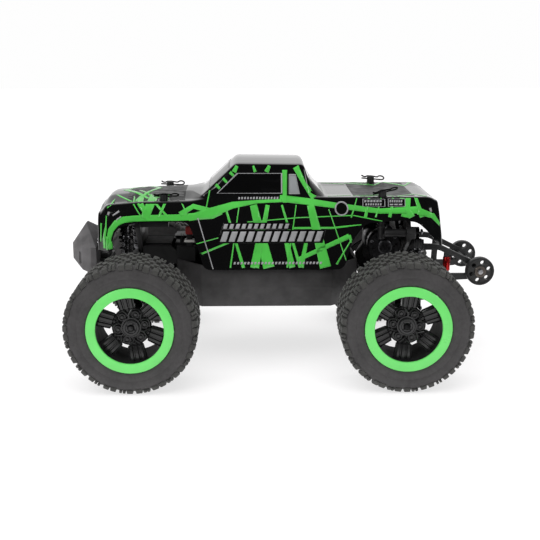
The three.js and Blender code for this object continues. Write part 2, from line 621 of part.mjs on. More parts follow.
// ---- Wheelie bar: two bent rails, a cross tube and a small wheel on each end ----
const railOutline = [
  [142.7, 107], [159, 107], [161, 112.5], [178, 111], [206, 97], [207, 90], [180, 84.5], [180, 79.5], [214, 83], [222, 88],
  [222, 98], [214, 102.5], [181, 117.5], [160, 120.5], [142.7, 121],
];
const rails = [-1, 1].map((s) => prism(railOutline, "xz", s * WHEELIE.railY - 3, s * WHEELIE.railY + 3));
const struts = [-1, 1].map((s) => box(180, 185, s * WHEELIE.railY - 3, s * WHEELIE.railY + 3, 80, 114));
const crossTubes = join(
  rod([182.5, -32, 90], [182.5, 32, 90], 3),
  box(142.7, 157, -34, 34, 107, 126),
  rod([214, -32, 93], [214, 32, 93], 3),
);
const wheelieAxle = [-1, 1].map((s) =>
  rod([WHEELIE.axleX, s * 30, WHEELIE.axleZ], [WHEELIE.axleX, s * (WHEELIE.wheelY + 5.5), WHEELIE.axleZ], 1.8),
);
add("wheelie_bar", "arms", join(...rails, ...struts, crossTubes, ...wheelieAxle));

function wheelieWheelShape() {
  const r = WHEELIE.wheelR;
  const body = turned([[2.3, -4], [r - 1, -4], [r, -3], [r, 3], [r - 1, 4], [2.3, 4]], 20);
  const holes = Array.from({ length: 6 }, (_, i) => {
    const a = (Math.PI / 3) * i + 0.3;
    return rod([8.4 * Math.cos(a), -6, 8.4 * Math.sin(a)], [8.4 * Math.cos(a), 6, 8.4 * Math.sin(a)], 2.5, 6);
  });
  return cut(body, ...holes);
}
const wheelieWheel = geometryOf(wheelieWheelShape());
for (const [side, s] of [["left", -1], ["right", 1]]) {
  const mesh = add(`wheelie_wheel_${side}`, "rim", wheelieWheel);
  mesh.position.set(WHEELIE.axleX, s * (WHEELIE.wheelY - 1.5), WHEELIE.axleZ);
}

// ---- Body shell: a hollow pickup body, open below, with wheel arches ----
const SHELL_FLOOR = 97;
const SHELL_TAIL_X = 171.5;
// Each station: x, then the half section's [y, z] from the sill up over the shoulder to the centreline.
const shellStations = [
  [-168, [[58, SHELL_FLOOR], [57, 130], [54, 148], [50, 156], [36, 157], [20, 160], [0, 161]]],
  [-158, [[66, SHELL_FLOOR], [64, 132], [59, 157], [54, 164.5], [40, 163], [22, 169], [0, 170]]],
  [-128, [[69, SHELL_FLOOR], [66, 135], [60, 160], [55, 167], [40, 165.5], [20, 171.5], [0, 172.5]]],
  [-66, [[69, SHELL_FLOOR], [66, 135], [61, 160], [55, 168], [44, 168], [22, 173.5], [0, 174.5]]],
  [-32, [[69, SHELL_FLOOR], [66, 135], [61, 160], [55, 169], [52, 172], [45, 203], [0, 206]]],
  [36, [[69, SHELL_FLOOR], [66, 135], [61, 160], [55, 170], [52, 172], [45, 202], [0, 205]]],
  [58, [[69, SHELL_FLOOR], [66, 135], [61, 160], [55, 171], [50, 171], [30, 170], [0, 170]]],
  [160, [[69, SHELL_FLOOR], [66, 135], [61, 160], [55, 171], [50, 171], [30, 170], [0, 170]]],
  [SHELL_TAIL_X, [[64, SHELL_FLOOR], [62, 135], [57, 158], [52, 167], [48, 167.5], [30, 167], [0, 167]]],
];
const inset = ([y, z]) => [Math.max(y - SHELL_WALL, 0), z === SHELL_FLOOR ? z - 10 : z - SHELL_WALL];
const shellEnds = { [-168]: SHELL_WALL, [SHELL_TAIL_X]: -SHELL_WALL };
const shellOuter = loft(shellStations.map(([x, half]) => ringAt(x, half)));
const shellInner = loft(shellStations.map(([x, half]) => ringAt(x + (shellEnds[x] ?? 0), half.map(inset))));
// Everything below this line is cut away: the nose, front arch, sill, rear arch and tail.
const shellHem = [
  [-180, 120], [-151, 119], [-154, 131], [-147, 142], [-126, 148], [-76, 149], [-61, 100], [75, 101], [83, 131], [97, 146],
  [133, 149], [148, 147], [157, 139], [163, 132], [167, 125], [180, 122.5], [180, 60], [-180, 60],
];
const postHoles = [FRONT_POST, REAR_POST].flatMap((post) =>
  [-1, 1].map((s) => rod([post.x, s * post.y, 150], [post.x, s * post.y, 190], POST_R + 1)),
);
add("body_shell", "shell", cut(shellOuter, shellInner, prism(shellHem, "xz", -90, 90), ...postHoles));

// ---- Body clips: a wire leg through the post and a ring to pull ----
function clipShape({ x, y, clipZ }, side) {
  const ring = new THREE.TorusGeometry(4, 0.8, 6, 14);
  ring.rotateY(-0.14);
  ring.translate(x + 12, side * y, clipZ + 0.56);
  return join(rod([x - 10, side * y, clipZ], [x + 8.2, side * y, clipZ], 0.75, 6), solid(ring));
}

for (const [end, post] of [["front", FRONT_POST], ["rear", REAR_POST]])
  for (const [side, s] of [["left", -1], ["right", 1]])
    add(`body_clip_${end}_${side}`, "arms", clipShape(post, s));

export default truck;
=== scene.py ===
import math

import bmesh
import bpy
from mathutils import Matrix, Vector
from mathutils.bvhtree import BVHTree

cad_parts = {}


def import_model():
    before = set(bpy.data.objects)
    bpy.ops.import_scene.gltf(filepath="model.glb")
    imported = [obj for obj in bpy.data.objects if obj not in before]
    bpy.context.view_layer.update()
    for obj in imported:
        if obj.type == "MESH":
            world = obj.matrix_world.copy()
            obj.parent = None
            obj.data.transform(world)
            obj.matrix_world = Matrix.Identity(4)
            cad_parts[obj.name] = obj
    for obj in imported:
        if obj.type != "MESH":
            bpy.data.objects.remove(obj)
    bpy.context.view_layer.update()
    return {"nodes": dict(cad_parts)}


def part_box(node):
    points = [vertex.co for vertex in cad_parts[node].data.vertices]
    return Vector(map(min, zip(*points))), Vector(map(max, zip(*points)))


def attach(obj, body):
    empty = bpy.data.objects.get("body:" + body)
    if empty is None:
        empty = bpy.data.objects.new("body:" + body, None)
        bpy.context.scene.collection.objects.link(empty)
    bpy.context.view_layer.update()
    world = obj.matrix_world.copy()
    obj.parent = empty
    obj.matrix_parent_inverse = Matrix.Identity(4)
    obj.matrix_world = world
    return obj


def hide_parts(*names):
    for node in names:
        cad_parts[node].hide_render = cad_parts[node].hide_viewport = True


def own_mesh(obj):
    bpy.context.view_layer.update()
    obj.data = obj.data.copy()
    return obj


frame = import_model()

# ---- The truck's own measures, in millimetres from the middle of the wheelbase ----
MM = 0.001


def centre_of(node):
    low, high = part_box(node)
    return (low + high) / 2 / MM


AXLE_X = {"front": centre_of("front_left_tyre").x, "rear": centre_of("rear_left_tyre").x}
MIDDLE_X = (AXLE_X["front"] + AXLE_X["rear"]) / 2
AXLE_Z = centre_of("front_left_tyre").z
WHEEL_Y = centre_of("front_right_tyre").y
CORNERS = [(end, side) for end in ("front", "rear") for side in ("left", "right")]
SIGN = {"left": -1, "right": 1}
# A lathe profile that closes on its axis starts and ends this far from it.
CORE = 0.01


def world(x, y, z):
    return Vector(((x + MIDDLE_X) * MM, y * MM, z * MM))


def around(radius, angle, y=0, centre=(0, 0)):
    """A point at a distance from an axis along Y, at an angle in radians."""
    return centre[0] + radius * math.cos(angle), y, centre[1] + radius * math.sin(angle)


def show(item):
    """Puts an object into the scene."""
    bpy.context.scene.collection.objects.link(item)
    return item


def flip(side):
    """Takes a shape made for the right side to either side."""
    return Matrix.Diagonal((1, SIGN[side], 1, 1))


# ---- Camera: a long lens a metre away, a little above the bonnet ----
CAMERA_LENS = 66.15
CAMERA_PLACE = (-18.4, -1022.7, 320.6)
CAMERA_DOWN = 12.97
CAMERA_TURN = -1.23

camera_data = bpy.data.cameras.new("camera")
camera_data.lens = CAMERA_LENS
camera_data.sensor_width = 36
camera = show(bpy.data.objects.new("camera", camera_data))
camera.location = world(*CAMERA_PLACE)
camera.rotation_euler = (math.radians(90 - CAMERA_DOWN), 0, math.radians(CAMERA_TURN))
bpy.context.scene.camera = camera


# ---- Materials ----
def principled(name, colour, roughness, **inputs):
    material = bpy.data.materials.new(name)
    material.use_nodes = True
    shader = material.node_tree.nodes["Principled BSDF"]
    shader.inputs["Base Color"].default_value = (*colour, 1)
    shader.inputs["Roughness"].default_value = roughness
    for key, value in inputs.items():
        shader.inputs[key.replace("_", " ").title()].default_value = value
    return material, material.node_tree, shader


def object_noise(tree, scale, detail=4, roughness=0.55):
    coords = tree.nodes.new("ShaderNodeTexCoord")
    noise = tree.nodes.new("ShaderNodeTexNoise")
    noise.inputs["Scale"].default_value = scale
    noise.inputs["Detail"].default_value = detail
    noise.inputs["Roughness"].default_value = roughness
    tree.links.new(coords.outputs["Object"], noise.inputs["Vector"])
    return noise.outputs["Fac"]


def spread(tree, value, low, high, start=0.3, end=0.7):
    """Maps a noise onto a number between low and high."""
    ramp = tree.nodes.new("ShaderNodeMapRange")
    ramp.inputs["From Min"].default_value = start
    ramp.inputs["From Max"].default_value = end
    ramp.inputs["To Min"].default_value = low
    ramp.inputs["To Max"].default_value = high
    tree.links.new(value, ramp.inputs["Value"])
    return ramp.outputs["Result"]


def tint(tree, shader, value, colour_a, colour_b, start=0.35, end=0.65):
    ramp = tree.nodes.new("ShaderNodeValToRGB")
    ramp.color_ramp.elements[0].position = start
    ramp.color_ramp.elements[0].color = (*colour_a, 1)
    ramp.color_ramp.elements[1].position = end
    ramp.color_ramp.elements[1].color = (*colour_b, 1)
    tree.links.new(value, ramp.inputs["Fac"])
    tree.links.new(ramp.outputs["Color"], shader.inputs["Base Color"])


def bump(tree, shader, heights, distance):
    """Adds one bump for each (height, strength) pair, all at the same depth in metres."""
    normal = None
    for height, strength in heights:
        node = tree.nodes.new("ShaderNodeBump")
        node.inputs["Strength"].default_value = strength
        node.inputs["Distance"].default_value = distance
        tree.links.new(height, node.inputs["Height"])
        if normal is not None:
            tree.links.new(normal, node.inputs["Normal"])
        normal = node.outputs["Normal"]
    tree.links.new(normal, shader.inputs["Normal"])


def moulded(name, colour, roughness, spread_by=0.08, grain=2600, strength=0.25, contrast=0.25, **inputs):
    """Injection-moulded plastic: a fine grain, faint flow marks in the colour and uneven gloss."""
    material, tree, shader = principled(name, colour, roughness, **inputs)
    flow = object_noise(tree, 60, 5)
    tint(tree, shader, flow, [c * (1 - contrast) for c in colour], [c * (1 + contrast) for c in colour])
    patches = object_noise(tree, 140, 3)
    rough = spread(tree, patches, max(roughness - spread_by, 0.03), roughness + spread_by)
    tree.links.new(rough, shader.inputs["Roughness"])
    bump(tree, shader, [(object_noise(tree, grain, 2), strength), (object_noise(tree, 90, 2), 0.05)], 0.0002)
    return material


def lacquer(name, colour, roughness=0.12, contrast=0.12, **inputs):
    """Paint behind clear polycarbonate: near-mirror gloss with a faint orange peel, haze and dust."""
    material, tree, shader = principled(name, colour, roughness, **inputs)
    tint(tree, shader, object_noise(tree, 35, 3), [c * (1 - contrast) for c in colour],
         [min(c * (1 + contrast), 1) for c in colour])
    haze = spread(tree, object_noise(tree, 48, 6, 0.7), roughness * 0.85, roughness * 1.25)
    tree.links.new(haze, shader.inputs["Roughness"])
    bump(tree, shader, [(object_noise(tree, 90, 2), 0.05), (object_noise(tree, 1500, 2), 0.015)], 0.0002)
    return material


METAL_GRAIN = 900


def metal(name, colour, roughness):
    """Turned or drawn metal: a fine grain and slightly cloudy gloss."""
    material, tree, shader = principled(name, colour, roughness, metallic=1.0)
    cloud = object_noise(tree, 180, 4)
    tint(tree, shader, cloud, [c * 0.82 for c in colour], [min(c * 1.1, 1) for c in colour])
    rough = spread(tree, object_noise(tree, 420, 3), roughness * 0.7, roughness * 1.5)
    tree.links.new(rough, shader.inputs["Roughness"])
    bump(tree, shader, [(object_noise(tree, METAL_GRAIN, 2), 0.12)], 0.00005)
    return material


def rubber(name, colour):
    """Soft tyre rubber: mould bloom in the colour, fine pores and a dusty, uneven sheen."""
    material, tree, shader = principled(name, colour, 0.72)
    bloom = object_noise(tree, 55, 6, 0.65)
    tint(tree, shader, bloom, [c * 0.8 for c in colour], [c * 1.18 for c in colour])
    tree.links.new(spread(tree, object_noise(tree, 300, 3), 0.6, 0.86), shader.inputs["Roughness"])
    shader.inputs["Sheen Weight"].default_value = 0.12
    shader.inputs["Sheen Roughness"].default_value = 0.6
    bump(tree, shader, [(object_noise(tree, 3200, 3), 0.22), (object_noise(tree, 240, 3), 0.1)], 0.00025)
    return material


BLACK_SHELL = lacquer("shell_black_paint", (0.0025, 0.0025, 0.0027), 0.1, coat_weight=0.5,
                      coat_roughness=0.05)
BACKING = lacquer("shell_backing_paint", (0.002, 0.002, 0.002), 0.2)
SHELL_INSIDE = moulded("shell_inside_paint", (0.006, 0.012, 0.006), 0.55, 0.1, 500, 0.3)
BED_PANEL = moulded("bed_panel_print", (0.006, 0.006, 0.006), 0.42, 0.1, 420, 0.5)
GREEN_SHELL = lacquer("shell_green_paint", (0.078, 0.53, 0.068), 0.2, contrast=0.1, coat_weight=0.6,
                      coat_roughness=0.06)
SILVER_SHELL = lacquer("shell_silver_paint", (0.34, 0.34, 0.35), 0.25)
LAMP_PAINT = lacquer("number_panel_paint", (0.28, 0.29, 0.3), 0.2)
TAIL_RED = lacquer("tail_lamp_paint", (0.3, 0.012, 0.01), 0.15)
WINDOW = lacquer("window_black_paint", (0.002, 0.002, 0.0022), 0.05)
TYRE = rubber("tyre_rubber", (0.042, 0.0395, 0.0402))
TREAD = rubber("tread_rubber", (0.039, 0.0385, 0.0355))
RIM = moulded("rim_black_plastic", (0.017, 0.017, 0.0175), 0.2, 0.05, 1200, 0.08)
RING = lacquer("ring_green_paint", (0.165, 0.77, 0.165), 0.3, contrast=0.05)
TUB = moulded("tub_matte_plastic", (0.036, 0.0345, 0.035), 0.58, 0.08, 2400, 0.45)
FRAME = moulded("frame_plastic", (0.016, 0.016, 0.0165), 0.42, 0.09, 2200, 0.25)
TRAY = moulded("tray_plastic", (0.01, 0.01, 0.0105), 0.75, 0.08, 2200, 0.3)
ARM = moulded("arm_plastic", (0.014, 0.014, 0.0145), 0.4, 0.09, 2200, 0.25)
BUMPER = moulded("bumper_plastic", (0.105, 0.101, 0.104), 0.6, 0.08, 2400, 0.5)
WHEELIE = moulded("wheelie_plastic", (0.022, 0.022, 0.0225), 0.45, 0.08, 2200, 0.3)
CLIP = metal("clip_black_steel", (0.02, 0.02, 0.021), 0.35)
SHOCK = metal("shock_black_aluminium", (0.1, 0.1, 0.105), 0.22)
SHAFT = metal("shock_shaft_steel", (0.62, 0.62, 0.64), 0.16)
SPRING = metal("spring_black_steel", (0.035, 0.035, 0.037), 0.3)
STEEL = metal("spring_steel", (0.42, 0.42, 0.44), 0.3)
MOTOR = metal("motor_black_can", (0.085, 0.085, 0.09), 0.34)
BATTERY = moulded("battery_wrap", (0.02, 0.045, 0.11), 0.3, 0.05, 900, 0.08)
SERVO = moulded("servo_case", (0.012, 0.012, 0.013), 0.5, 0.08, 2400, 0.4)
WIRE_RED = moulded("wire_red", (0.42, 0.012, 0.01), 0.42, 0.06, 1800, 0.1)
WIRE_WHITE = moulded("wire_white", (0.75, 0.74, 0.7), 0.4, 0.06, 1800, 0.1)
LAMP = metal("lamp_silver", (0.86, 0.86, 0.88), 0.12)
HUB_DISC = metal("wheelie_hub_disc", (0.16, 0.14, 0.125), 0.35)
RED_METAL = metal("red_anodised", (0.5, 0.02, 0.02), 0.3)


# ---- Mesh helpers ----
def link(name, mesh, material, body, replaces=()):
    piece = show(bpy.data.objects.new(name, mesh))
    for one in material if isinstance(material, (list, tuple)) else [material]:
        mesh.materials.append(one)
    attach(piece, body)
    if replaces:
        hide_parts(*replaces)
    return piece


def sharpen(mesh, degrees):
    """Shades a mesh smooth except along edges that bend more than this."""
    work = bmesh.new()
    work.from_mesh(mesh)
    for face in work.faces:
        face.smooth = True
    limit = math.radians(degrees)
    for edge in work.edges:
        edge.smooth = len(edge.link_faces) == 2 and edge.calc_face_angle(0) < limit
    work.to_mesh(mesh)
    work.free()


class Solid:
    """Gathers shapes, in millimetres, into one mesh."""

    def __init__(self):
        self.vertices = []
        self.faces = []

    def add(self, points, faces):
        start = len(self.vertices)
        self.vertices += [Vector(p) for p in points]
        self.faces += [[start + i for i in face] for face in faces]
        return self

    def grid(self, rows, close_rows=False, close_columns=False):
        """A sheet of quads through rows of points."""
        n, m = len(rows), len(rows[0])
        faces = []
        for i in range(n if close_rows else n - 1):
            for j in range(m if close_columns else m - 1):
                a, b = (i + 1) % n, (j + 1) % m
                faces.append([i * m + j, a * m + j, a * m + b, i * m + b])
        return self.add([p for row in rows for p in row], faces)

    def lathe(self, profile, segments=64, axis="y", centre=(0, 0, 0), closed=False):
        """Turns [radius, along] points about an axis; a closed profile makes a ring."""
        rows = []
        for radius, along in profile:
            row = []
            for i in range(segments):
                a = 2 * math.pi * i / segments
                p, q = radius * math.cos(a), radius * math.sin(a)
                local = {"y": (p, along, q), "x": (along, p, q), "z": (p, q, along)}[axis]
                row.append(tuple(c + o for c, o in zip(local, centre)))
            rows.append(row)
        return self.grid(rows, close_rows=closed, close_columns=True)

    def rod(self, radius, low, high, segments, axis="y", centre=(0, 0, 0)):
        """A plain round bar from one place along an axis to another."""
        profile = [(CORE, low), (radius, low), (radius, high), (CORE, high)]
        return self.lathe(profile, segments, axis, centre)

    def box(self, low, high):
        points = [(x, y, z) for x in (low[0], high[0]) for y in (low[1], high[1]) for z in (low[2], high[2])]
        sides = [(0, 1, 3, 2), (4, 6, 7, 5), (0, 4, 5, 1), (2, 3, 7, 6), (0, 2, 6, 4), (1, 5, 7, 3)]
        return self.add(points, sides)

    def prism(self, outline, to_point, low, high):
        """Extrudes an outline of pairs; to_point turns a pair and a depth into x, y, z."""
        n = len(outline)
        points = [to_point(a, b, depth) for depth in (low, high) for a, b in outline]
        sides = [(i, (i + 1) % n, n + (i + 1) % n, n + i) for i in range(n)]
        return self.add(points, [list(range(n))[::-1], [n + i for i in range(n)], *sides])

    def plate(self, outline, low, high):
        """Extrudes an outline of (x, z) pairs across the truck."""
        return self.prism(outline, lambda x, z, depth: (x, depth, z), low, high)

    def tube(self, path, radius, sides):
        """A round wire through points, with flat ends."""
        path = [Vector(p) for p in path]
        last = len(path) - 1
        turn = [2 * math.pi * k / sides for k in range(sides)]
        rows = []
        across = None
        for i, point in enumerate(path):
            along = (path[min(i + 1, last)] - path[max(i - 1, 0)]).normalized()
            if across is None:
                across = along.orthogonal().normalized()
            across = (across - along * across.dot(along)).normalized()
            third = along.cross(across)
            rows.append([point + across * (radius * math.cos(a)) + third * (radius * math.sin(a))
                         for a in turn])
        first = len(self.vertices)
        self.grid(rows, close_columns=True)
        ends = [first + k for k in range(sides)]
        self.faces += [ends[::-1], [last * sides + k for k in ends]]
        return self

    def moved(self, matrix):
        self.vertices = [matrix @ v for v in self.vertices]
        return self

    def join(self, other, matrix):
        return self.add([matrix @ v for v in other.vertices], other.faces)

    def mesh(self, name, smooth_below=38):
        points = [world(*v) for v in self.vertices]
        mesh = bpy.data.meshes.new(name)
        mesh.from_pydata([tuple(p) for p in points], [], self.faces)
        work = bmesh.new()
        work.from_mesh(mesh)
        bmesh.ops.remove_doubles(work, verts=work.verts, dist=1e-6)
        bmesh.ops.recalc_face_normals(work, faces=work.faces)
        work.to_mesh(mesh)
        work.free()
        sharpen(mesh, smooth_below)
        return mesh

    def piece(self, name, smooth_below, material, body, slot, replaces=()):
        return link(name, self.mesh(name, smooth_below), material, body, replaces)


def soften(piece, width, segments=2, angle=35):
    """Rounds a piece's edges by a width in millimetres."""
    modifier = piece.modifiers.new("edges", "BEVEL")
    modifier.width = width * MM
    modifier.segments = segments
    modifier.limit_method = "ANGLE"
    modifier.angle_limit = math.radians(angle)
    modifier.harden_normals = True
    modifier.use_clamp_overlap = True
    return piece


def subtract(piece, tool, smooth_below):
    """Cuts one object out of another, removes both and returns the mesh that is left."""
    cut = piece.modifiers.new("cut", "BOOLEAN")
    cut.object = tool
    cut.operation = "DIFFERENCE"
    cut.solver = "EXACT"
    bpy.context.view_layer.update()
    final = bpy.data.meshes.new_from_object(piece.evaluated_get(bpy.context.evaluated_depsgraph_get()))
    bpy.data.objects.remove(piece)
    bpy.data.objects.remove(tool)
    sharpen(final, smooth_below)
    final.materials.clear()
    return final


def turn_y(degrees):
    return Matrix.Rotation(math.radians(-degrees), 4, "Y")


# ---- CAD nodes that stay: material, rounded edges and smooth round surfaces ----
CAD_LOOKS = [
    ("lower_arm", ARM), ("upper_arm", ARM), ("caster_block", ARM), ("steering_knuckle", ARM),
    ("tie_rod", ARM), ("hub_carrier", ARM), ("driveshaft", STEEL), ("axle", CLIP), ("shock_rod", SHAFT),
    ("shock_body", SHOCK), ("spring", SPRING), ("chassis_tub", TUB), ("front_bulkhead", FRAME),
    ("rear_gearbox", FRAME), ("motor", MOTOR), ("front_shock_tower", FRAME), ("rear_shock_tower", FRAME),
    ("steering_servo", SERVO), ("battery_pack", BATTERY), ("speed_controller", SERVO),
    ("front_bumper", BUMPER), ("wheelie_bar", WHEELIE), ("centre_link", ARM), ("servo_horn", ARM),
    ("wheelie_wheel", WHEELIE), ("body_shell", BLACK_SHELL), ("body_clip", CLIP), ("rim", RIM),
    ("tyre", TYRE),
]
EDGE_MM = {"front_bumper": 1.0, "chassis_tub": 1.2, "wheelie_bar": 0.8, "motor": 0.6, "battery_pack": 1.5}
USUAL_EDGE_MM = 0.35


def dress(node, piece):
    look = next(material for key, material in CAD_LOOKS if key in node)
    piece.data.materials.clear()
    piece.data.materials.append(look)
    weld = piece.modifiers.new("weld", "WELD")
    weld.merge_threshold = 0.01 * MM
    flat = piece.modifiers.new("flats", "DECIMATE")
    flat.decimate_type = "DISSOLVE"
    flat.angle_limit = math.radians(0.6)
    soften(piece, EDGE_MM.get(node, USUAL_EDGE_MM), 2, 44)


for node_name, node_piece in frame["nodes"].items():
    dress(node_name, node_piece)
    node_piece.data.polygons.foreach_set("use_smooth", [True] * len(node_piece.data.polygons))


# ---- Outlines ----
def rounded(points, radius, steps=5, closed=True):
    """Turns each corner of an outline into a curve of one radius, or of its own radius from a list."""
    points = [Vector(p) for p in points]
    result = []
    count = len(points)
    for i, corner in enumerate(points):
        if not closed and i in (0, count - 1):
            result.append(corner)
            continue
        before, after = points[i - 1], points[(i + 1) % count]
        wanted = radius[i] if isinstance(radius, list) else radius
        reach = min(wanted, 0.45 * (before - corner).length, 0.45 * (after - corner).length)
        start = corner + (before - corner).normalized() * reach
        end = corner + (after - corner).normalized() * reach
        for k in range(steps):
            t = k / (steps - 1)
            result.append(start * (1 - t) ** 2 + corner * (2 * t * (1 - t)) + end * t ** 2)
    return result


def crowned(points, crown, parts=3):
    """Divides each stretch of an open line of (y, z) pairs and lets its middle swell outwards."""
    result = [points[0]]
    for a, b in zip(points, points[1:]):
        along = b - a
        out = Vector((-along.y, along.x)).normalized() if along.length > 1e-6 else Vector((0, 0))
        swell = crown if along.length > CROWNED_FROM else 0
        for k in range(1, parts + 1):
            u = k / parts
            result.append(a + along * u + out * (4 * swell * u * (1 - u)))
    return result


# ---- Body shell: lofted through half-sections of (half-width, height), each from the hem to the middle ----
FLANK = [(69, 97), (66, 135), (61, 160)]
SHELL_STATIONS = [
    (-168, [(58, 97), (57, 130), (54, 148), (50, 156), (36, 157), (20, 160), (0, 161)]),
    (-158, [(66, 97), (64, 132), (59, 157), (54, 164.5), (40, 163), (22, 169), (0, 170)]),
    (-128, [(69, 97), (66, 135), (60, 160), (55, 167), (40, 165.5), (20, 171.5), (0, 172.5)]),
    (-76, [(69, 97), (66, 135), (60.8, 160), (55, 167.8), (44, 168), (22, 173.4), (0, 174.4)]),
    (-65, [*FLANK, (55, 168.5), (52, 170.5), (49.5, 172.5), (0, 175.5)]),
    (-32, [*FLANK, (55, 169), (52, 172), (45, 203), (0, 206)]),
    (36, [*FLANK, (55, 170), (52, 172), (45, 202), (0, 205)]),
    (40, [*FLANK, (55, 170), (52, 172), (46.5, 190), (0, 192)]),
    (58, [*FLANK, (55, 171), (50, 171), (30, 170), (0, 170)]),
    (160, [*FLANK, (55, 171), (50, 171), (30, 170), (0, 170)]),
    (170, [(64, 97), (62, 135), (57, 158), (52, 167), (48, 167.5), (30, 167), (0, 167)]),
]
SHELL_HEM = [
    (-190, 120), (-151, 119), (-153, 131), (-147, 143), (-126, 148), (-78, 148.5), (-69, 124), (-63, 101),
    (75, 101), (84, 131), (97, 146.5), (133, 149), (148, 147), (157, 139), (163, 132), (167, 126),
    (174.5, 122), (190, 122), (190, 60), (-190, 60),
]
SHELL_WALL = 1.5
SHELL_CORNER = 3.2
SHELL_CROWN = 0.7
PANEL_CURVE = 3.5
CENTRE_CURVE = 30
CROWNED_FROM = 30
FOLD = 2.6
FOLD_STEPS = 4
FOLD_HALF_WIDTH, FOLD_HALF_HEIGHT, FOLD_MIDDLE_Z = 60, 36, 128
TAIL_STARTS, TAIL_LENGTH, TAIL_TOP_Z, TAIL_LEAN = 150, 20, 160, 0.1
POST_HOLE = 5
POSTS = {"front": (-103, 42), "rear": (114, 50)}


def shell_section(half):
    right = [Vector(p) for p in half]
    left = [Vector((-p.x, p.y)) for p in reversed(right[:-1])]
    radii = [SHELL_CORNER] * (2 * len(half) - 1)
    radii[len(half) - 1] = CENTRE_CURVE
    return crowned(rounded(right + left, radii, 4, closed=False), SHELL_CROWN)


def shell_rows():
    sections = [(x, shell_section(half)) for x, half in SHELL_STATIONS]
    lines = []
    for column in range(len(sections[0][1])):
        line = [Vector((x, *section[column])) for x, section in sections]
        lines.append(rounded(line, PANEL_CURVE, 4, closed=False))
    rows = [list(row) for row in zip(*lines)]
    # The nose and tail panels turn in over a small radius.
    for end, inwards in ((0, 1), (-1, -1)):
        rim = rows[end]
        turned = []
        for k in range(1, FOLD_STEPS + 1):
            a = math.radians(90 * k / FOLD_STEPS)
            inset = FOLD * (1 - math.cos(a))
            shift = inwards * FOLD * (1 - math.sin(a))
            narrower, lower = 1 - inset / FOLD_HALF_WIDTH, 1 - inset / FOLD_HALF_HEIGHT
            turned.append([Vector((p.x + shift, p.y * narrower,
                                   FOLD_MIDDLE_Z + (p.z - FOLD_MIDDLE_Z) * lower)) for p in rim])
        base = [p + Vector((inwards * FOLD, 0, 0)) for p in rim]
        rows = [*turned[::-1], base, *rows[1:]] if end == 0 else [*rows[:-1], base, *turned]
    return [[lean_tail(p) for p in row] for row in rows]


def lean_tail(point):
    """The tail panel leans back towards its lower edge."""
    share = max(0, (point.x - TAIL_STARTS) / TAIL_LENGTH)
    return point + Vector((share * (TAIL_TOP_Z - point.z) * TAIL_LEAN, 0, 0))


def shell_cutter():
    tool = Solid()
    tool.plate(rounded(SHELL_HEM, 7, 6), -110, 110)
    for x, y in POSTS.values():
        for side in (-1, 1):
            turns = [2 * math.pi * k / 24 for k in range(24)]
            ring = [(POST_HOLE * math.cos(a), POST_HOLE * math.sin(a)) for a in turns]
            tool.prism(ring, lambda p, q, z, x=x, y=y * side: (x + p, y + q, z), 156, 190)
    return tool


def body_shell():
    rows = shell_rows()
    skin = Solid().grid(rows)
    skin.add(rows[0], [list(range(len(rows[0])))])
    skin.add(rows[-1], [list(range(len(rows[-1])))[::-1]])
    shell = show(bpy.data.objects.new("shell", skin.mesh("shell", 50)))
    for material in (BLACK_SHELL, SHELL_INSIDE):
        shell.data.materials.append(material)
    wall = shell.modifiers.new("wall", "SOLIDIFY")
    wall.thickness = SHELL_WALL * MM
    wall.offset = -1
    wall.use_even_offset = True
    wall.material_offset = 1
    cutter = show(bpy.data.objects.new("shell_cutter", shell_cutter().mesh("shell_cutter")))
    final = subtract(shell, cutter, 40)
    return link("truck_body_shell", final, [BLACK_SHELL, SHELL_INSIDE], "chassis",
                ["body_shell"])


SHELL = body_shell()
SHELL_TREE = BVHTree.FromPolygons([v.co[:] for v in SHELL.data.vertices],
                                  [p.vertices[:] for p in SHELL.data.polygons])


# ---- Painted graphics: thin film laid on the shell ----
RAYS_FROM_Y, RAYS_FROM_Z, RAYS_FROM_X = 120, 260, 230


def from_side(sign):
    return lambda x, z: (world(x, sign * RAYS_FROM_Y, z), Vector((0, -sign, 0)))


def from_above(x, y):
    return world(x, y, RAYS_FROM_Z), Vector((0, 0, -1))


def from_front(y, z):
    return world(-RAYS_FROM_X, y, z), Vector((1, 0, 0))


def from_rear(y, z):
    return world(RAYS_FROM_X, y, z), Vector((-1, 0, 0))


FILM_GRID = 2.5
FILM_THICKNESS = 0.1
FILM_FACING = 0.25
# Neighbouring outlines of one film sit at slightly different heights, so that overlaps don't flicker.
FILM_LAYERS, FILM_LAYER_STEP = 8, 0.012


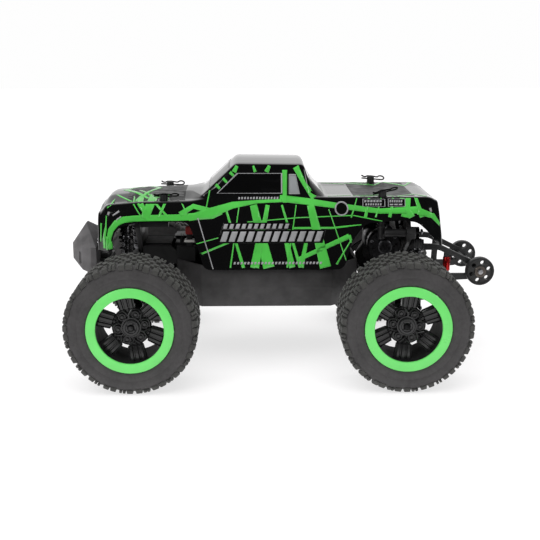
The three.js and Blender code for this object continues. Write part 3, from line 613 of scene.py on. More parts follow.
def film(name, outlines, aim, material, lift):
    """Lays closed outlines, given as pairs, on the shell along the rays that aim() returns."""
    sheet = bmesh.new()
    for number, outline in enumerate(outlines):
        patch = bmesh.new()
        corners = [patch.verts.new((*p, 0)) for p in outline]
        patch.faces.new(corners)
        bmesh.ops.triangulate(patch, faces=patch.faces)
        for axis in (0, 1):
            low = min(p[axis] for p in outline)
            high = max(p[axis] for p in outline)
            for step in range(math.floor(low / FILM_GRID) + 1, math.ceil(high / FILM_GRID)):
                spot, normal = Vector((0, 0, 0)), Vector((0, 0, 0))
                spot[axis], normal[axis] = step * FILM_GRID, 1
                everything = [*patch.verts, *patch.edges, *patch.faces]
                bmesh.ops.bisect_plane(patch, geom=everything, plane_co=spot, plane_no=normal)
        raised = lift + FILM_LAYER_STEP * (number % FILM_LAYERS)
        lost = []
        for vertex in patch.verts:
            start, direction = aim(vertex.co.x, vertex.co.y)
            hit, normal, _, _ = SHELL_TREE.ray_cast(start, direction)
            if hit is None or normal.dot(direction) > -FILM_FACING:
                lost.append(vertex)
                continue
            vertex.co = hit + normal * (raised * MM)
        bmesh.ops.delete(patch, geom=lost, context="VERTS")
        part = bpy.data.meshes.new("patch")
        patch.to_mesh(part)
        patch.free()
        sheet.from_mesh(part)
        bpy.data.meshes.remove(part)
    bmesh.ops.recalc_face_normals(sheet, faces=sheet.faces)
    way = aim(0, 0)[1]
    flipped = [face for face in sheet.faces if face.normal.dot(way) > 0]
    bmesh.ops.reverse_faces(sheet, faces=flipped)
    for face in sheet.faces:
        face.smooth = True
    mesh = bpy.data.meshes.new(name)
    sheet.to_mesh(mesh)
    sheet.free()
    piece = link(name, mesh, material, "chassis")
    thick = piece.modifiers.new("film", "SOLIDIFY")
    thick.thickness = FILM_THICKNESS * MM
    thick.offset = -1
    return piece


def ribbon(*stops):
    """The outline of a painted stroke through (x, z, width) stops."""
    stops = [Vector(s) for s in stops]
    left, right = [], []
    for i, stop in enumerate(stops):
        before, after = stops[max(i - 1, 0)], stops[min(i + 1, len(stops) - 1)]
        along = (after - before).to_2d().normalized()
        across = Vector((-along.y, along.x)) * (stop.z / 2)
        left.append(stop.to_2d() + across)
        right.append(stop.to_2d() - across)
    return [tuple(p) for p in left + right[::-1]]


FENDER_STROKES = [
    ribbon((-154.6, 121.5, 4), (-156, 131, 4.4), (-154, 140, 5.6), (-148.5, 147, 6.2), (-141, 150.4, 6),
           (-130, 151.6, 5.8), (-106, 152.2, 6), (-88, 152.4, 6.2), (-67, 153.8, 7), (-55, 156.1, 10),
           (-46, 159.8, 9)),
    ribbon((-86, 155.5, 5), (-73, 163, 4.4), (-57, 159, 5)),
    ribbon((-160.6, 122, 2.4), (-161, 131, 3), (-159, 142, 2.4)),
    ribbon((-158.2, 120.5, 1.6), (-157.4, 134, 3)),
    ribbon((-164.6, 128, 1.2), (-164, 146, 1.8)),
    ribbon((-151.8, 119.8, 1.4), (-154.4, 129, 2.6)),
    ribbon((-158.9, 142, 1.6), (-158.2, 154, 0.9)),
    [(-158, 160.5), (-153.5, 163.5), (-152.5, 166.5), (-156.5, 164)],
    ribbon((-128, 169, 5.4), (-119.5, 157.5, 5)),
    ribbon((-113.5, 169, 8.4), (-120.8, 151, 8.4)),
    ribbon((-134, 168.5, 1.2), (-123.5, 152.5, 1.2)),
    ribbon((-111, 166.5, 2.2), (-97.2, 152.5, 2.2)),
    ribbon((-99.5, 168.5, 2.6), (-107, 152.5, 2.4)),
    ribbon((-86, 169, 1.3), (-78.5, 155, 1.3)),
    ribbon((-57, 177.5, 1.3), (-60.3, 161, 1.2)),
]
# The belt, the doors and the bed carry a generic pattern: a stripe, and legs that lean to and fro
# between two heights. The front wings' strokes above follow the photographed truck's layout.
BELT_Z = 166
WAIST_Z = 148
SILL_Z = 103
ROOF_EDGE_Z = 201


def lean_legs(first_x, pitch, count, top, foot, leans, widths):
    """Evenly spaced strokes from one height to another, whose leans and widths repeat in turn."""
    legs = []
    for k in range(count):
        x = first_x + pitch * k
        width = widths[k % len(widths)]
        legs.append(ribbon((x, top, width), (x + leans[k % len(leans)], foot, width * 1.6)))
    return legs


BELT_STROKES = [
    ribbon((-78, 152, 6), (-56, 157, 9), (-34, 164, 6), (-10, 167, 3), (14, 168, 3)),
    ribbon((12, 170, 6), (40, 167, 6), (70, 163, 5), (110, 158, 5), (150, 159, 7)),
    ribbon((17, BELT_Z, 4), (17, ROOF_EDGE_Z - 4, 5)),
    ribbon((28, ROOF_EDGE_Z - 1, 6), (36, 184, 4), (46, 170, 6)),
    *[ribbon((-51 + 7 * k, 183 + 6 * k, 3), (-47 + 7 * k, 179 + 6 * k, 2.5)) for k in range(3)],
    *lean_legs(-30, 16, 3, ROOF_EDGE_Z, 195, (-3, 2), (3, 2)),
]
DOOR_STROKES = [
    *lean_legs(-42, 14, 7, BELT_Z - 2, SILL_Z, (18, -9, 15, -12), (2, 1, 7, 4)),
    *lean_legs(-8, 24, 3, WAIST_Z - 8, SILL_Z, (-7, 8), (3, 4)),
    ribbon((-20, WAIST_Z, 1), (30, WAIST_Z + 4, 1), (84, WAIST_Z + 6, 1), (114, WAIST_Z, 1)),
    ribbon((24, WAIST_Z - 6, 2), (64, WAIST_Z - 6, 2), (92, WAIST_Z - 3, 1)),
    ribbon((-70, 115, 2), (-34, 130, 2)),
    ribbon((-70, 127, 1), (-48, 133, 1)),
]
BED_STROKES = [
    ribbon((30, 111, 4), (80, 134, 5)),
    ribbon((80, 135, 3), (84, 124, 2)),
    ribbon((60, 160, 1), (78, 108, 1)),
    ribbon((82, 130, 1), (68, 106, 2)),
    *lean_legs(88, 12, 4, 170, 152, (-6, -4), (1, 2)),
    *lean_legs(132, 7, 3, 171, 152, (10, -4, 6), (4, 5, 3)),
    ribbon((148, 158, 7), (163, 153, 5), (172, 142, 2)),
]
SIDE_STROKES = FENDER_STROKES + BELT_STROKES + DOOR_STROKES + BED_STROKES
HOOD_STROKES = [
    ribbon((-146, 0, 5), (-132, 20, 4), (-119, 36, 3)),
    ribbon((-136, 47, 3.4), (-122, 24, 4), (-110, 0, 5)),
    ribbon((-112, 36, 1.4), (-96, 30, 1.2)),
    ribbon((-130, 10, 2.4), (-112, 38, 2)),
    ribbon((-152, 22, 2), (-128, 48, 2.4)),
    ribbon((-122, 49, 3.6), (-108, 30, 1.4)),
]
BED_TOP_STROKES = [
    ribbon((85, 46, 3), (116, 34, 3.6), (125, 50, 3)),
    ribbon((128, 52, 4), (148, 30, 5), (157, 50, 4)),
    ribbon((92, 51, 1.6), (112, 44, 1.6)),
    ribbon((60, 48, 2), (84, 40, 1.6)),
]
SIDE_WINDOW = [(-49, 174.8), (-29, 193.4), (13.4, 193.4), (13.4, 174.8)]
NUMBER_PANEL = [(21.6, 192), (27.6, 191.8), (31.4, 174.6), (21.4, 174.6)]


def mirrored(outlines):
    """Outlines in (x, y) seen from above, and the same on the other side."""
    return outlines + [[(x, -y) for x, y in outline[::-1]] for outline in outlines]


def both_sides(outline):
    """An outline in (y, z) seen from the front or the rear, and the same on the other side."""
    return [outline, [(-y, z) for y, z in outline[::-1]]]


def outline_band(outline, width):
    """The frame between an outline and the same outline pushed out by a width."""
    middle = sum((Vector(p) for p in outline), Vector((0, 0))) / len(outline)
    outer = [tuple(Vector(p) + (Vector(p) - middle).normalized() * width * 1.35) for p in outline]
    count = len(outline)
    return [[outline[i], outline[(i + 1) % count], outer[(i + 1) % count], outer[i]] for i in range(count)]


def slanted_bars(x0, x1, z0, z1, pitch, width, slant):
    """A generic row of slanted bars, where a livery would carry its lettering."""
    bars = []
    x = x0
    while x + width <= x1:
        bars.append([(x, z0), (x + width, z0), (x + width + slant, z1), (x + slant, z1)])
        x += pitch
    return bars


def disc(centre, outer, inner):
    """A round band, or the one full outline when there is no inner radius."""
    turns = [math.radians(15 * k) for k in range(24)]
    spokes = [(math.cos(a), math.sin(a)) for a in turns]
    rim = [(centre[0] + outer * c, centre[1] + outer * s) for c, s in spokes]
    if not inner:
        return [rim]
    bore = [(centre[0] + inner * c, centre[1] + inner * s) for c, s in spokes]
    return [[rim[k - 1], rim[k], bore[k], bore[k - 1]] for k in range(24)]


NUMBER_DISC = (72.6, 160.4)
LABELS = [
    [(94, 162.4), (115, 162.2), (115.2, 168.8), (94.2, 169)],
    [(119, 162.4), (135, 162.4), (135.2, 169), (119.2, 169)],
]
# Each row of bars: from x to x, from z to z, pitch, width and slant.
DOOR_BARS = [
    (-47, 52, 129, 138.8, 8.4, 5.8, 3.5),
    (-44, 22, 141.6, 146.2, 6, 3.6, 1.6),
    (-34, 54, 106.4, 108.8, 3.4, 2, 0.7),
    (-29, 12, 169, 171, 2.9, 1.7, 0.4),
]
LABEL_BARS = [
    (95, 114, 166.2, 168, 3, 2.2, 0.3),
    (96, 113, 163.2, 165, 2.4, 1.5, 0.3),
    (120, 134, 166, 168, 2.2, 1.5, 0.3),
    (120, 134, 163.4, 164.6, 4.4, 3.6, 0.3),
]
DOOR_BACKING = [
    [(-50, 127.4), (54, 127.4), (57, 140.4), (-46.5, 140.4)],
    [(-46, 140.6), (22, 140.6), (24, 147.4), (-44, 147.4)],
]
# Painted highlights in silver paint: the shine along a body crease behind the front wheel arch, a crease the
# shell itself is not given, and two glints on the headlamp at the nose.
CREASE_AND_LAMP_HIGHLIGHTS = [
    ribbon((-68.5, 152, 1), (-60, 123, 1), (-54, 102, 1)),
    ribbon((-152, 154.2, 1.2), (-145.5, 158.4, 1.8)),
    ribbon((-148.2, 150.2, 1.2), (-143.6, 153.4, 1.2)),
]


def side_graphics(side):
    aim = from_side(SIGN[side])
    film(f"{side}_window_film", [SIDE_WINDOW], aim, WINDOW, 0.02)
    trim = outline_band(SIDE_WINDOW, 1.0) + outline_band(NUMBER_PANEL, 0.8)
    for row in DOOR_BARS:
        trim += slanted_bars(*row)
    trim += disc(NUMBER_DISC, 6.8, 5.4) + outline_band(LABELS[0], 0.5) + outline_band(LABELS[1], 0.5)
    for row in LABEL_BARS:
        trim += slanted_bars(*row)
    # Besides the trims, the silver film carries painted highlights: the crease shine behind the front wheel
    # arch and the headlamp glints.
    trim += CREASE_AND_LAMP_HIGHLIGHTS
    backing = [*DOOR_BACKING, *disc(NUMBER_DISC, 6.8, 0), *LABELS]
    film(f"{side}_backing_film", backing, aim, BACKING, 0.3)
    film(f"{side}_silver_film", trim, aim, SILVER_SHELL, 0.46)
    film(f"{side}_panel_film", [NUMBER_PANEL], aim, LAMP_PAINT, 0.02)
    film(f"{side}_green_film", SIDE_STROKES, aim, GREEN_SHELL, 0.16)


for side in ("left", "right"):
    side_graphics(side)
HOOD_PANEL = [(-140, -40), (-124, -44), (-82, -46), (-82, 46), (-124, 44), (-140, 40)]
film("hood_panel_film", [HOOD_PANEL], from_above, BED_PANEL, 0.02)
film("hood_green_film", mirrored(HOOD_STROKES), from_above, GREEN_SHELL, 0.1)
WINDSCREEN = [(-58, -45), (-37.5, -40), (-37.5, 40), (-58, 45)]
film("windscreen_film", [WINDSCREEN], from_above, WINDOW, 0.02)
film("windscreen_trim", outline_band(WINDSCREEN, 1.1), from_above, SILVER_SHELL, 0.1)
BACK_WINDOW = [(42, -40), (53, -44), (53, 44), (42, 40)]
film("back_window_film", [BACK_WINDOW], from_above, WINDOW, 0.02)
film("back_window_trim", outline_band(BACK_WINDOW, 0.9), from_above, SILVER_SHELL, 0.1)
GRILLE = [(-30, 131), (30, 131), (32, 143), (-32, 143)]
film("grille_film", [GRILLE], from_front, WINDOW, 0.04)
grille_bars = outline_band(GRILLE, 0.9) + slanted_bars(-28, 28, 133, 141, 5.4, 3, 1)
film("grille_bars", grille_bars, from_front, SILVER_SHELL, 0.2)
HEADLAMP = [(37, 133), (50, 133), (52, 142), (35, 142)]
film("headlamp_film", both_sides(HEADLAMP), from_front, LAMP_PAINT, 0.1)
TAILGATE = [(-36, 135), (36, 135), (36, 156), (-36, 156)]
tailgate_trim = outline_band(TAILGATE, 0.9) + slanted_bars(-30, 30, 142, 150, 7, 4.6, 2)
film("tailgate_trim", tailgate_trim, from_rear, SILVER_SHELL, 0.2)
TAIL_LAMP = [(42, 140), (49, 140), (49, 156), (42, 156)]
film("tail_lamp_film", both_sides(TAIL_LAMP), from_rear, TAIL_RED, 0.12)
BED_FLOOR = [(86, -48), (147, -48), (147, 48), (86, 48)]
film("bed_panel_film", [BED_FLOOR], from_above, BED_PANEL, 0.02)
film("bed_green_film", mirrored(BED_TOP_STROKES), from_above, GREEN_SHELL, 0.16)


# ---- Wheels, built for the right side with +Y outwards and mirrored for the left ----
SPOKES = 6
SPOKE_TURN = {"front_left": 41, "front_right": 40, "rear_left": 24, "rear_right": 5}


def at_wheel(solid, end, side, turn=0):
    """Moves a shape from the wheel's own middle to a corner, turned about the axle."""
    place = Matrix.Translation((AXLE_X[end] - MIDDLE_X, SIGN[side] * WHEEL_Y, AXLE_Z))
    return solid.moved(place @ turn_y(turn) @ flip(side))


def tyre_carcass():
    outside = [(59.9, 0), (59.8, 19), (59.6, 23), (58.9, 26), (57.4, 28), (55, 29.2), (52, 29.8),
               (49.5, 29.9), (49, 29.6), (48.2, 29.6), (47.7, 29.9), (43, 29.6), (41, 28.8), (40.45, 27.6)]
    inside = [(40.45, 26), (44, 26.6), (50, 26.4), (55, 23), (57, 18), (57.4, 0)]
    half = outside + inside
    return Solid().lathe(half + [(r, -y) for r, y in half[::-1]], 120, closed=True)


# The blocks start just inside the carcass. Above SHOULDER_TOP a lug narrows, and below it widens.
TREAD_BASE, TREAD_DRAFT = 58.8, 0.1
SHOULDER_TOP, SHOULDER_NARROW, SHOULDER_WIDE = 60, 0.84, 1.1


def tread_block(solid, angle, span, outline, top):
    """One rubber block: an outline of (share of the span, y) pairs, raised with a little draft."""
    middle_y = sum(y for _, y in outline) / len(outline)
    rings = []
    for radius, shrink in ((TREAD_BASE, 1), (top, 1 - TREAD_DRAFT)):
        for share, y in outline:
            a = math.radians(angle + share * span * shrink)
            rings.append(around(radius, a, middle_y + (y - middle_y) * shrink))
    n = len(outline)
    faces = [list(range(n))[::-1], [n + i for i in range(n)]]
    faces += [(i, (i + 1) % n, n + (i + 1) % n, n + i) for i in range(n)]
    solid.add(rings, faces)


def shoulder_lug(solid, angle, span, reach, sign):
    """A shallow lug that wraps from the tread over the shoulder to the top of the sidewall."""
    profile = [(TREAD_BASE, 19.4), (62.1, 20), (62.3, 24.4), (61.4, 27), (reach + 1.2, 28.9), (reach, 29),
               (reach - 0.4, 27), (58, 24)]
    points = []
    for share in (-0.5, 0.5):
        for radius, y in profile:
            widen = SHOULDER_NARROW if radius > SHOULDER_TOP else SHOULDER_WIDE
            points.append(around(radius, math.radians(angle + share * span * widen), sign * y))
    n = len(profile)
    faces = [list(range(n)), [n + i for i in range(n)][::-1]]
    faces += [(i, n + i, n + (i + 1) % n, (i + 1) % n) for i in range(n)]
    solid.add(points, faces)


TREAD_PITCHES = 44
TREAD_ROWS = [(-15.6, 5.2), (-7.8, 5.6), (0, 5.8), (7.8, 5.6), (15.6, 5.2)]
SHOULDER_LUGS = 48


def tyre_tread():
    """Shoulder lugs, every third one split, and five rows of small blocks, no two quite alike."""
    solid = Solid()
    for i in range(SHOULDER_LUGS):
        for sign, shift in ((1, 0), (-1, 3.7)):
            angle = 360 / SHOULDER_LUGS * i + shift + 0.5 * math.sin(3.3 * i)
            reach = 57.6 + 0.8 * math.sin(2.1 * i + sign)
            if i % 3:
                shoulder_lug(solid, angle, 5.6, reach, sign)
            else:
                shoulder_lug(solid, angle - 1.6, 2.3, reach, sign)
                shoulder_lug(solid, angle + 1.5, 2.3, reach + 0.5, sign)
    for row, (middle, width) in enumerate(TREAD_ROWS):
        for i in range(TREAD_PITCHES):
            wander = math.sin(2.4 * i + 1.7 * row)
            angle = 360 / TREAD_PITCHES * (i + 0.5 * (row % 2)) + 0.9 * wander
            half, lean = width / 2, 0.9 * math.cos(1.9 * i + row)
            block = [(-0.5, middle - half + lean), (-0.1, middle - half - 0.5), (0.5, middle - half - lean),
                     (0.42, middle + half - 0.8), (0.1, middle + half + lean), (-0.42, middle + half)]
            tread_block(solid, angle, 5.2 + 1.1 * wander, block, 62.2 + 0.25 * lean)
    return solid


def rim_barrel():
    ring = [(40.3, 28.4), (40.2, 26), (37.2, 25), (35.6, 22), (35.4, -20), (39.6, -26), (39.6, -29.4),
            (37.4, -29.6), (33.6, -24), (32.8, 0), (32, 24), (31.9, 28.6), (36, 28.8)]
    return Solid().lathe(ring, 96, closed=True)


def ring_band():
    ring = [(31.45, 28.4), (31.35, 29.8), (31.8, 30.4), (39.9, 30.4), (40.4, 29.9), (40.4, 28.9), (36, 28.7)]
    return Solid().lathe(ring, 128, closed=True)


# Where along a spoke its section is set: radius, height of the face and width of the section.
SPOKE_STATIONS = [
    (11, 12.8, 0.75), (17.4, 13.6, 0.9), (18.2, 16.4, 1.22), (29.5, 18.6, 1.38), (32.4, 18.2, 1.4),
]
LUG_NUTS_AT = 12.6
FORK_DEGREES = 15


def ribbed_spoke():
    """A flat bar with three raised ribs along it, from the hub out to the barrel."""
    half = [(0, 1.5), (1.1, 1.5), (1.5, -0.1), (2.4, -0.1), (2.8, 1.5), (4.6, 1.5), (5.2, 0.5), (6.1, 0),
            (6.2, -3.5)]
    across = [(-w, h) for w, h in half[:0:-1]] + half
    rows = [[(radius, face + h, w * width) for w, h in across] for radius, face, width in SPOKE_STATIONS]
    solid = Solid().grid(rows, close_columns=True)
    inner_end = list(range(len(across)))
    outer_end = [(len(rows) - 1) * len(across) + i for i in inner_end]
    solid.faces += [inner_end, outer_end[::-1]]
    return solid


def hub():
    """A stepped disc and a cap, with a lug nut and a forked rib for every spoke."""
    step = [(CORE, 8), (17, 8), (18.6, 9.4), (18.6, 12.4), (17.4, 13.6), (9.6, 14), (9.4, 17.2),
            (CORE, 17.2)]
    cap = [(CORE, 17), (7.4, 17), (7.9, 17.5), (7.9, 18.9), (7.2, 19.6), (5.4, 19.7), (5, 18.9),
           (CORE, 18.8)]
    collar = [(3.9, 12), (3.9, 15.6), (3.4, 16.1), (2.7, 16.1), (2.5, 14.6), (CORE, 14.6)]
    stud = [(1.9, 14.5), (1.9, 15.8), (1.5, 16.2), (CORE, 16.2)]
    solid = Solid().lathe(step, 72).lathe(cap, 48)
    for k in range(SPOKES):
        a = math.radians(60 * k)
        nut = Solid().lathe(collar, 24).lathe(stud, 6)
        solid.join(nut, Matrix.Translation(around(LUG_NUTS_AT, a + math.pi / 6)))
        for fork in (-1, 1):
            tip = a + fork * math.radians(FORK_DEGREES)
            solid.tube([around(8.2, a, 15.8), around(12, a, 16.6), around(17.8, tip, 14.6)], 1.1, 8)
    return solid


def centre_screw():
    head = [(3.3, 18.2), (3.3, 19.6), (2.7, 20.3), (1.2, 20.5), (0.9, 19.9), (CORE, 19.9)]
    solid = Solid().lathe(head, 24)
    for turn in (0, 90):
        bar = Solid().box((-4.6, 18.9, -0.5), (4.6, 19.5, 0.5))
        solid.join(bar, turn_y(turn + 20))
    return solid


def wheel(end, side):
    corner = f"{end}_{side}"
    body = f"{corner}_wheel"
    turn = SPOKE_TURN[corner]
    tyre = at_wheel(tyre_carcass(), end, side)
    tyre.piece(f"{corner}_tyre_carcass", 40, TYRE, body, "tyre_rubber", [f"{corner}_tyre"])
    tread = at_wheel(tyre_tread(), end, side, turn / 3)
    soften(tread.piece(f"{corner}_tyre_tread", 30, TREAD, body, "tyre_rubber"), 0.3, 1, 30)
    rim = at_wheel(rim_barrel(), end, side, turn)
    rim.piece(f"{corner}_rim_barrel", 35, TRAY, body, "rim_gloss_black", [f"{corner}_rim"])
    band = at_wheel(ring_band(), end, side)
    band.piece(f"{corner}_rim_ring", 50, RING, body, "ring_green")
    spokes = Solid()
    for k in range(SPOKES):
        spokes.join(ribbed_spoke(), turn_y(60 * k))
    star = at_wheel(spokes, end, side, turn)
    soften(star.piece(f"{corner}_rim_spokes", 30, RIM, body, "rim_gloss_black"), 0.25, 2, 30)
    middle = at_wheel(hub(), end, side, turn)
    soften(middle.piece(f"{corner}_rim_hub", 35, RIM, body, "rim_gloss_black"), 0.2, 2, 35)
    screw = at_wheel(centre_screw(), end, side, turn)
    screw.piece(f"{corner}_wheel_screw", 35, CLIP, body, "bolt_steel")


for end, side in CORNERS:
    wheel(end, side)


# ---- Pieces that replace plain CAD nodes ----
def carved(name, solid, tool, smooth_below=35):
    """The mesh of one solid with another cut out of it."""
    meshes = [one.mesh(name, smooth_below) for one in (solid, tool)]
    piece, cutter = [show(bpy.data.objects.new(name, mesh)) for mesh in meshes]
    return subtract(piece, cutter, smooth_below)


def hex_nut(solid, centre, axis, radius, height):
    """A six-sided nut with a chamfered rim and the end of its stud."""
    profile = [(CORE, 0), (radius * 0.92, 0), (radius, height * 0.12), (radius, height * 0.85),
               (radius * 0.9, height), (radius * 0.55, height), (radius * 0.5, height * 1.25),
               (CORE, height * 1.3)]
    solid.lathe(profile, 6, axis, centre)


def screw_head(solid, centre, axis, radius, height):
    """A domed screw head with a socket; a negative height faces the other way."""
    profile = [(CORE, -height), (radius, -height), (radius, height * 0.4), (radius * 0.86, height * 0.85),
               (radius * 0.5, height), (radius * 0.42, height * 0.95), (radius * 0.4, height * 0.3),
               (CORE, height * 0.3)]
    solid.lathe(profile, 20, axis, centre)


SHOCK_AHEAD = {"front": 13, "rear": 22}
SHOCK_EYE_Z = {"front": 148, "rear": 134}
SHOCK_EYE_Y, SHOCK_FOOT_Y, SHOCK_FOOT_Z = 44, 66, 60.5
OUTWARD = {"front": -1, "rear": 1}
THREAD_PITCH = 1.6
THREAD = [(4.6, 0.2), (4.3, 0.8), (4.6, 1.4)]
# The coil starts below the upper eye and ends above the lower one; COIL_ENDS is the two gaps together.
COIL_START, COIL_FOOT, COIL_ENDS = -21.1, 12.1, 33.2
COIL_CLOSING = 0.035
COIL_TURNS, COIL_STEPS, COIL_RADIUS, COIL_WIRE = 6.5, 26, 6, 0.8


def shock_frame(end, side):
    """A matrix that takes a shape built along -Z from the upper eye to the shock's place, and its length."""
    x = AXLE_X[end] - MIDDLE_X + OUTWARD[end] * SHOCK_AHEAD[end]
    top = Vector((x, SIGN[side] * SHOCK_EYE_Y, SHOCK_EYE_Z[end]))
    foot = Vector((x, SIGN[side] * SHOCK_FOOT_Y, SHOCK_FOOT_Z))
    tilt = (top - foot).to_track_quat("Z", "Y").to_matrix().to_4x4()
    return Matrix.Translation(top) @ tilt, (top - foot).length


def shock_eye(bore):
    """The section of the ring round a shock's ball joint."""
    return [(bore, -2.6), (4.6, -2.6), (5, -2.2), (5, 2.2), (4.6, 2.6), (bore, 2.6)]


def shock(end, side):
    """A threaded cylinder, a shaft with its foot, the coil and, at the rear, a knurled cap."""
    corner = f"{end}_{side}"
    cylinder, plunger = f"{corner}_shock_body", f"{corner}_shock_rod"
    place, length = shock_frame(end, side)
    reach = length - 38
    barrel = [(CORE, -7), (4.8, -7), (5.8, -8), (5.9, -9.6), (5.3, -10), (5.3, -10.6), (5.9, -11),
              (5.9, -13.4), (4.7, -14.4), (4.5, -16.6), (7.1, -17), (7.3, -17.6), (7.3, -19.4), (7.1, -20),
              (4.6, -20.4)]
    for k in range(int((reach - 24) / THREAD_PITCH)):
        barrel += [(r, -20.4 - THREAD_PITCH * k - d) for r, d in THREAD]
    barrel += [(4.6, -reach + 1), (4.1, -reach), (2.4, -reach), (2.3, 1 - reach), (CORE, 1 - reach)]
    body = Solid().lathe(barrel, 40, "z").lathe([(CORE, -2.6), (2.6, -3), (2.8, -8), (CORE, -8)], 24, "z")
    body.lathe(shock_eye(2.9), 32, "x", closed=True).moved(place)
    body.piece(f"{corner}_shock_can", 40, SHOCK, cylinder, "shock_metal", [cylinder])
    shaft = Solid().rod(1.6, 52 - length, 8 - length, 24, "z").moved(place)
    shaft.piece(f"{corner}_shock_shaft", 40, SHAFT, plunger, "shock_metal", [plunger])
    perch = [(1.7, 11.2), (6.9, 11.2), (7.2, 10.8), (7.2, 8.8), (6.6, 8.2), (3.4, 7.8), (3.2, 3.4),
             (1.7, 3.4)]
    foot = Solid().lathe([(r, z - length) for r, z in perch], 36, "z", closed=True)
    foot.lathe(shock_eye(3.05), 32, "x", (0, 0, -length), closed=True).moved(place)
    foot.piece(f"{corner}_shock_foot", 40, ARM, plunger, "arm_plastic")
    if end == "rear":
        shock_cap(place).piece(f"{corner}_shock_cap", 35, SERVO, cylinder, "servo_plastic")
    finish = COIL_FOOT - length
    coil = []
    for i in range(int(COIL_TURNS * COIL_STEPS) + 1):
        share = i / (COIL_TURNS * COIL_STEPS)
        eased = share - COIL_CLOSING * math.sin(2 * math.pi * share)
        a = 2 * math.pi * i / COIL_STEPS
        down = COIL_START - COIL_WIRE + (finish - COIL_START + 2 * COIL_WIRE) * eased
        coil.append((COIL_RADIUS * math.cos(a), COIL_RADIUS * math.sin(a), down))
    wire = Solid().tube(coil, COIL_WIRE, 8).moved(place)
    spring = wire.piece(f"{corner}_coil", 60, SPRING, cylinder, "spring_steel", [f"{corner}_spring"])
    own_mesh(spring)


def shock_cap(place):
    """A ring round the cylinder's top with a row of ridges."""
    cap = Solid()
    for k in range(18):
        a = math.radians(20 * k)
        ridge = [(CORE, -18.8), (0.75, -18.8), (0.75, -8.4), (CORE, -7.8)]
        cap.lathe(ridge, 8, "z", (6.7 * math.cos(a), 6.7 * math.sin(a), 0))
    ring = [(4.8, -18.8), (6.8, -18.8), (6.8, -8.6), (5.4, -7.6), (4.8, -7.6)]
    return cap.lathe(ring, 36, "z", closed=True).moved(place)


for end, side in CORNERS:
    shock(end, side)


POSTS_TOP = {"front": 174, "rear": 178.4}
CLIP_Z = {"front": 170.8, "rear": 175}
CLIP_TILT = {"front_left": 0, "front_right": 3, "rear_left": -12, "rear_right": 5}
CLIP_ROLL = 28
CLIP_LEG, CLIP_LOOP, CLIP_WIRE = 11.4, 3.5, 0.75


def body_clip(end, side):
    """A wire hairpin: a straight leg through the post, a round loop and a wavy leg beside the post."""
    x, y = POSTS[end]
    loop = []
    for k in range(1, 15):
        a = math.radians(18 * k)
        loop.append((CLIP_LEG + CLIP_LOOP * math.sin(a), CLIP_LOOP - CLIP_LOOP * math.cos(a), 0))
    back = [(6.6, 4.1, 0.2), (3.6, 4.6, 0.3), (0.2, 5.0, 0.3), (-3.4, 4.5, 0.3), (-5.4, 2.6, 0.3),
            (-7.2, 2.7, 0.3), (-9.6, 4.6, 0.3)]
    path = [(-9.8, 0, 0), (-6, 0, 0), (0, 0, 0), (6, 0, 0), (CLIP_LEG, 0, 0), *loop, *back]
    corner = f"{end}_{side}"
    lean = Matrix.Rotation(math.radians(CLIP_TILT[corner]), 4, "Y")
    roll = Matrix.Rotation(math.radians(CLIP_ROLL * SIGN[side]), 4, "X")
    place = Matrix.Translation((x, SIGN[side] * y, CLIP_Z[end])) @ lean @ roll @ flip(side)
    name = f"body_clip_{corner}"
    wire = Solid().tube(path, CLIP_WIRE, 10).moved(place)
    wire.piece(f"{name}_wire", 60, CLIP, name, "clip_black", [name])


def post_knob(end, side):
    """The part of a body post above the shell, with its domed head."""
    x, y = POSTS[end]
    top = POSTS_TOP[end]
    profile = [(3.85, top - 12), (3.95, top - 2.2), (3.6, top - 1), (2.4, top - 0.2), (CORE, top + 0.05)]
    solid = Solid().lathe(profile, 32, "z", (x, SIGN[side] * y, 0))
    solid.piece(f"{end}_{side}_post_head", 50, FRAME, "chassis", "frame_plastic")


for end, side in CORNERS:
    body_clip(end, side)
    post_knob(end, side)


MOTOR_X, MOTOR_Z = 118, 120


def motor():
    """A grooved can with a vented end bell and three screws, lying across the truck."""
    can = [(CORE, 6), (12, 6), (16.4, 5.6), (17, 4.6), (17, -30), (16.6, -30.5), (16.6, -31.5), (17, -32),
           (17, -44), (16, -45.8), (10, -46.4), (7, -46.6), (7, -50.4), (6.2, -51), (3, -51), (2.6, -50),
           (CORE, -50)]
    vents = Solid()
    for k in range(6):
        a = math.radians(60 * k + 10)
        vents.rod(1.7, -48, -44, 16, "y", around(12, a, 0, (MOTOR_X, MOTOR_Z)))
    solid = Solid().lathe(can, 72, "y", (MOTOR_X, 0, MOTOR_Z))
    link("motor_can", carved("motor_can", solid, vents, 40), MOTOR, "chassis", ["motor"])
    studs = Solid()
    for k in range(3):
        a = math.radians(120 * k + 40)
        screw_head(studs, around(13.5, a, -45.6, (MOTOR_X, MOTOR_Z)), "y", 1.6, -1)
    studs.piece("motor_screws", 35, STEEL, "chassis", "bolt_steel")


motor()


WHEELIE_WHEEL = (216, 43, 93)


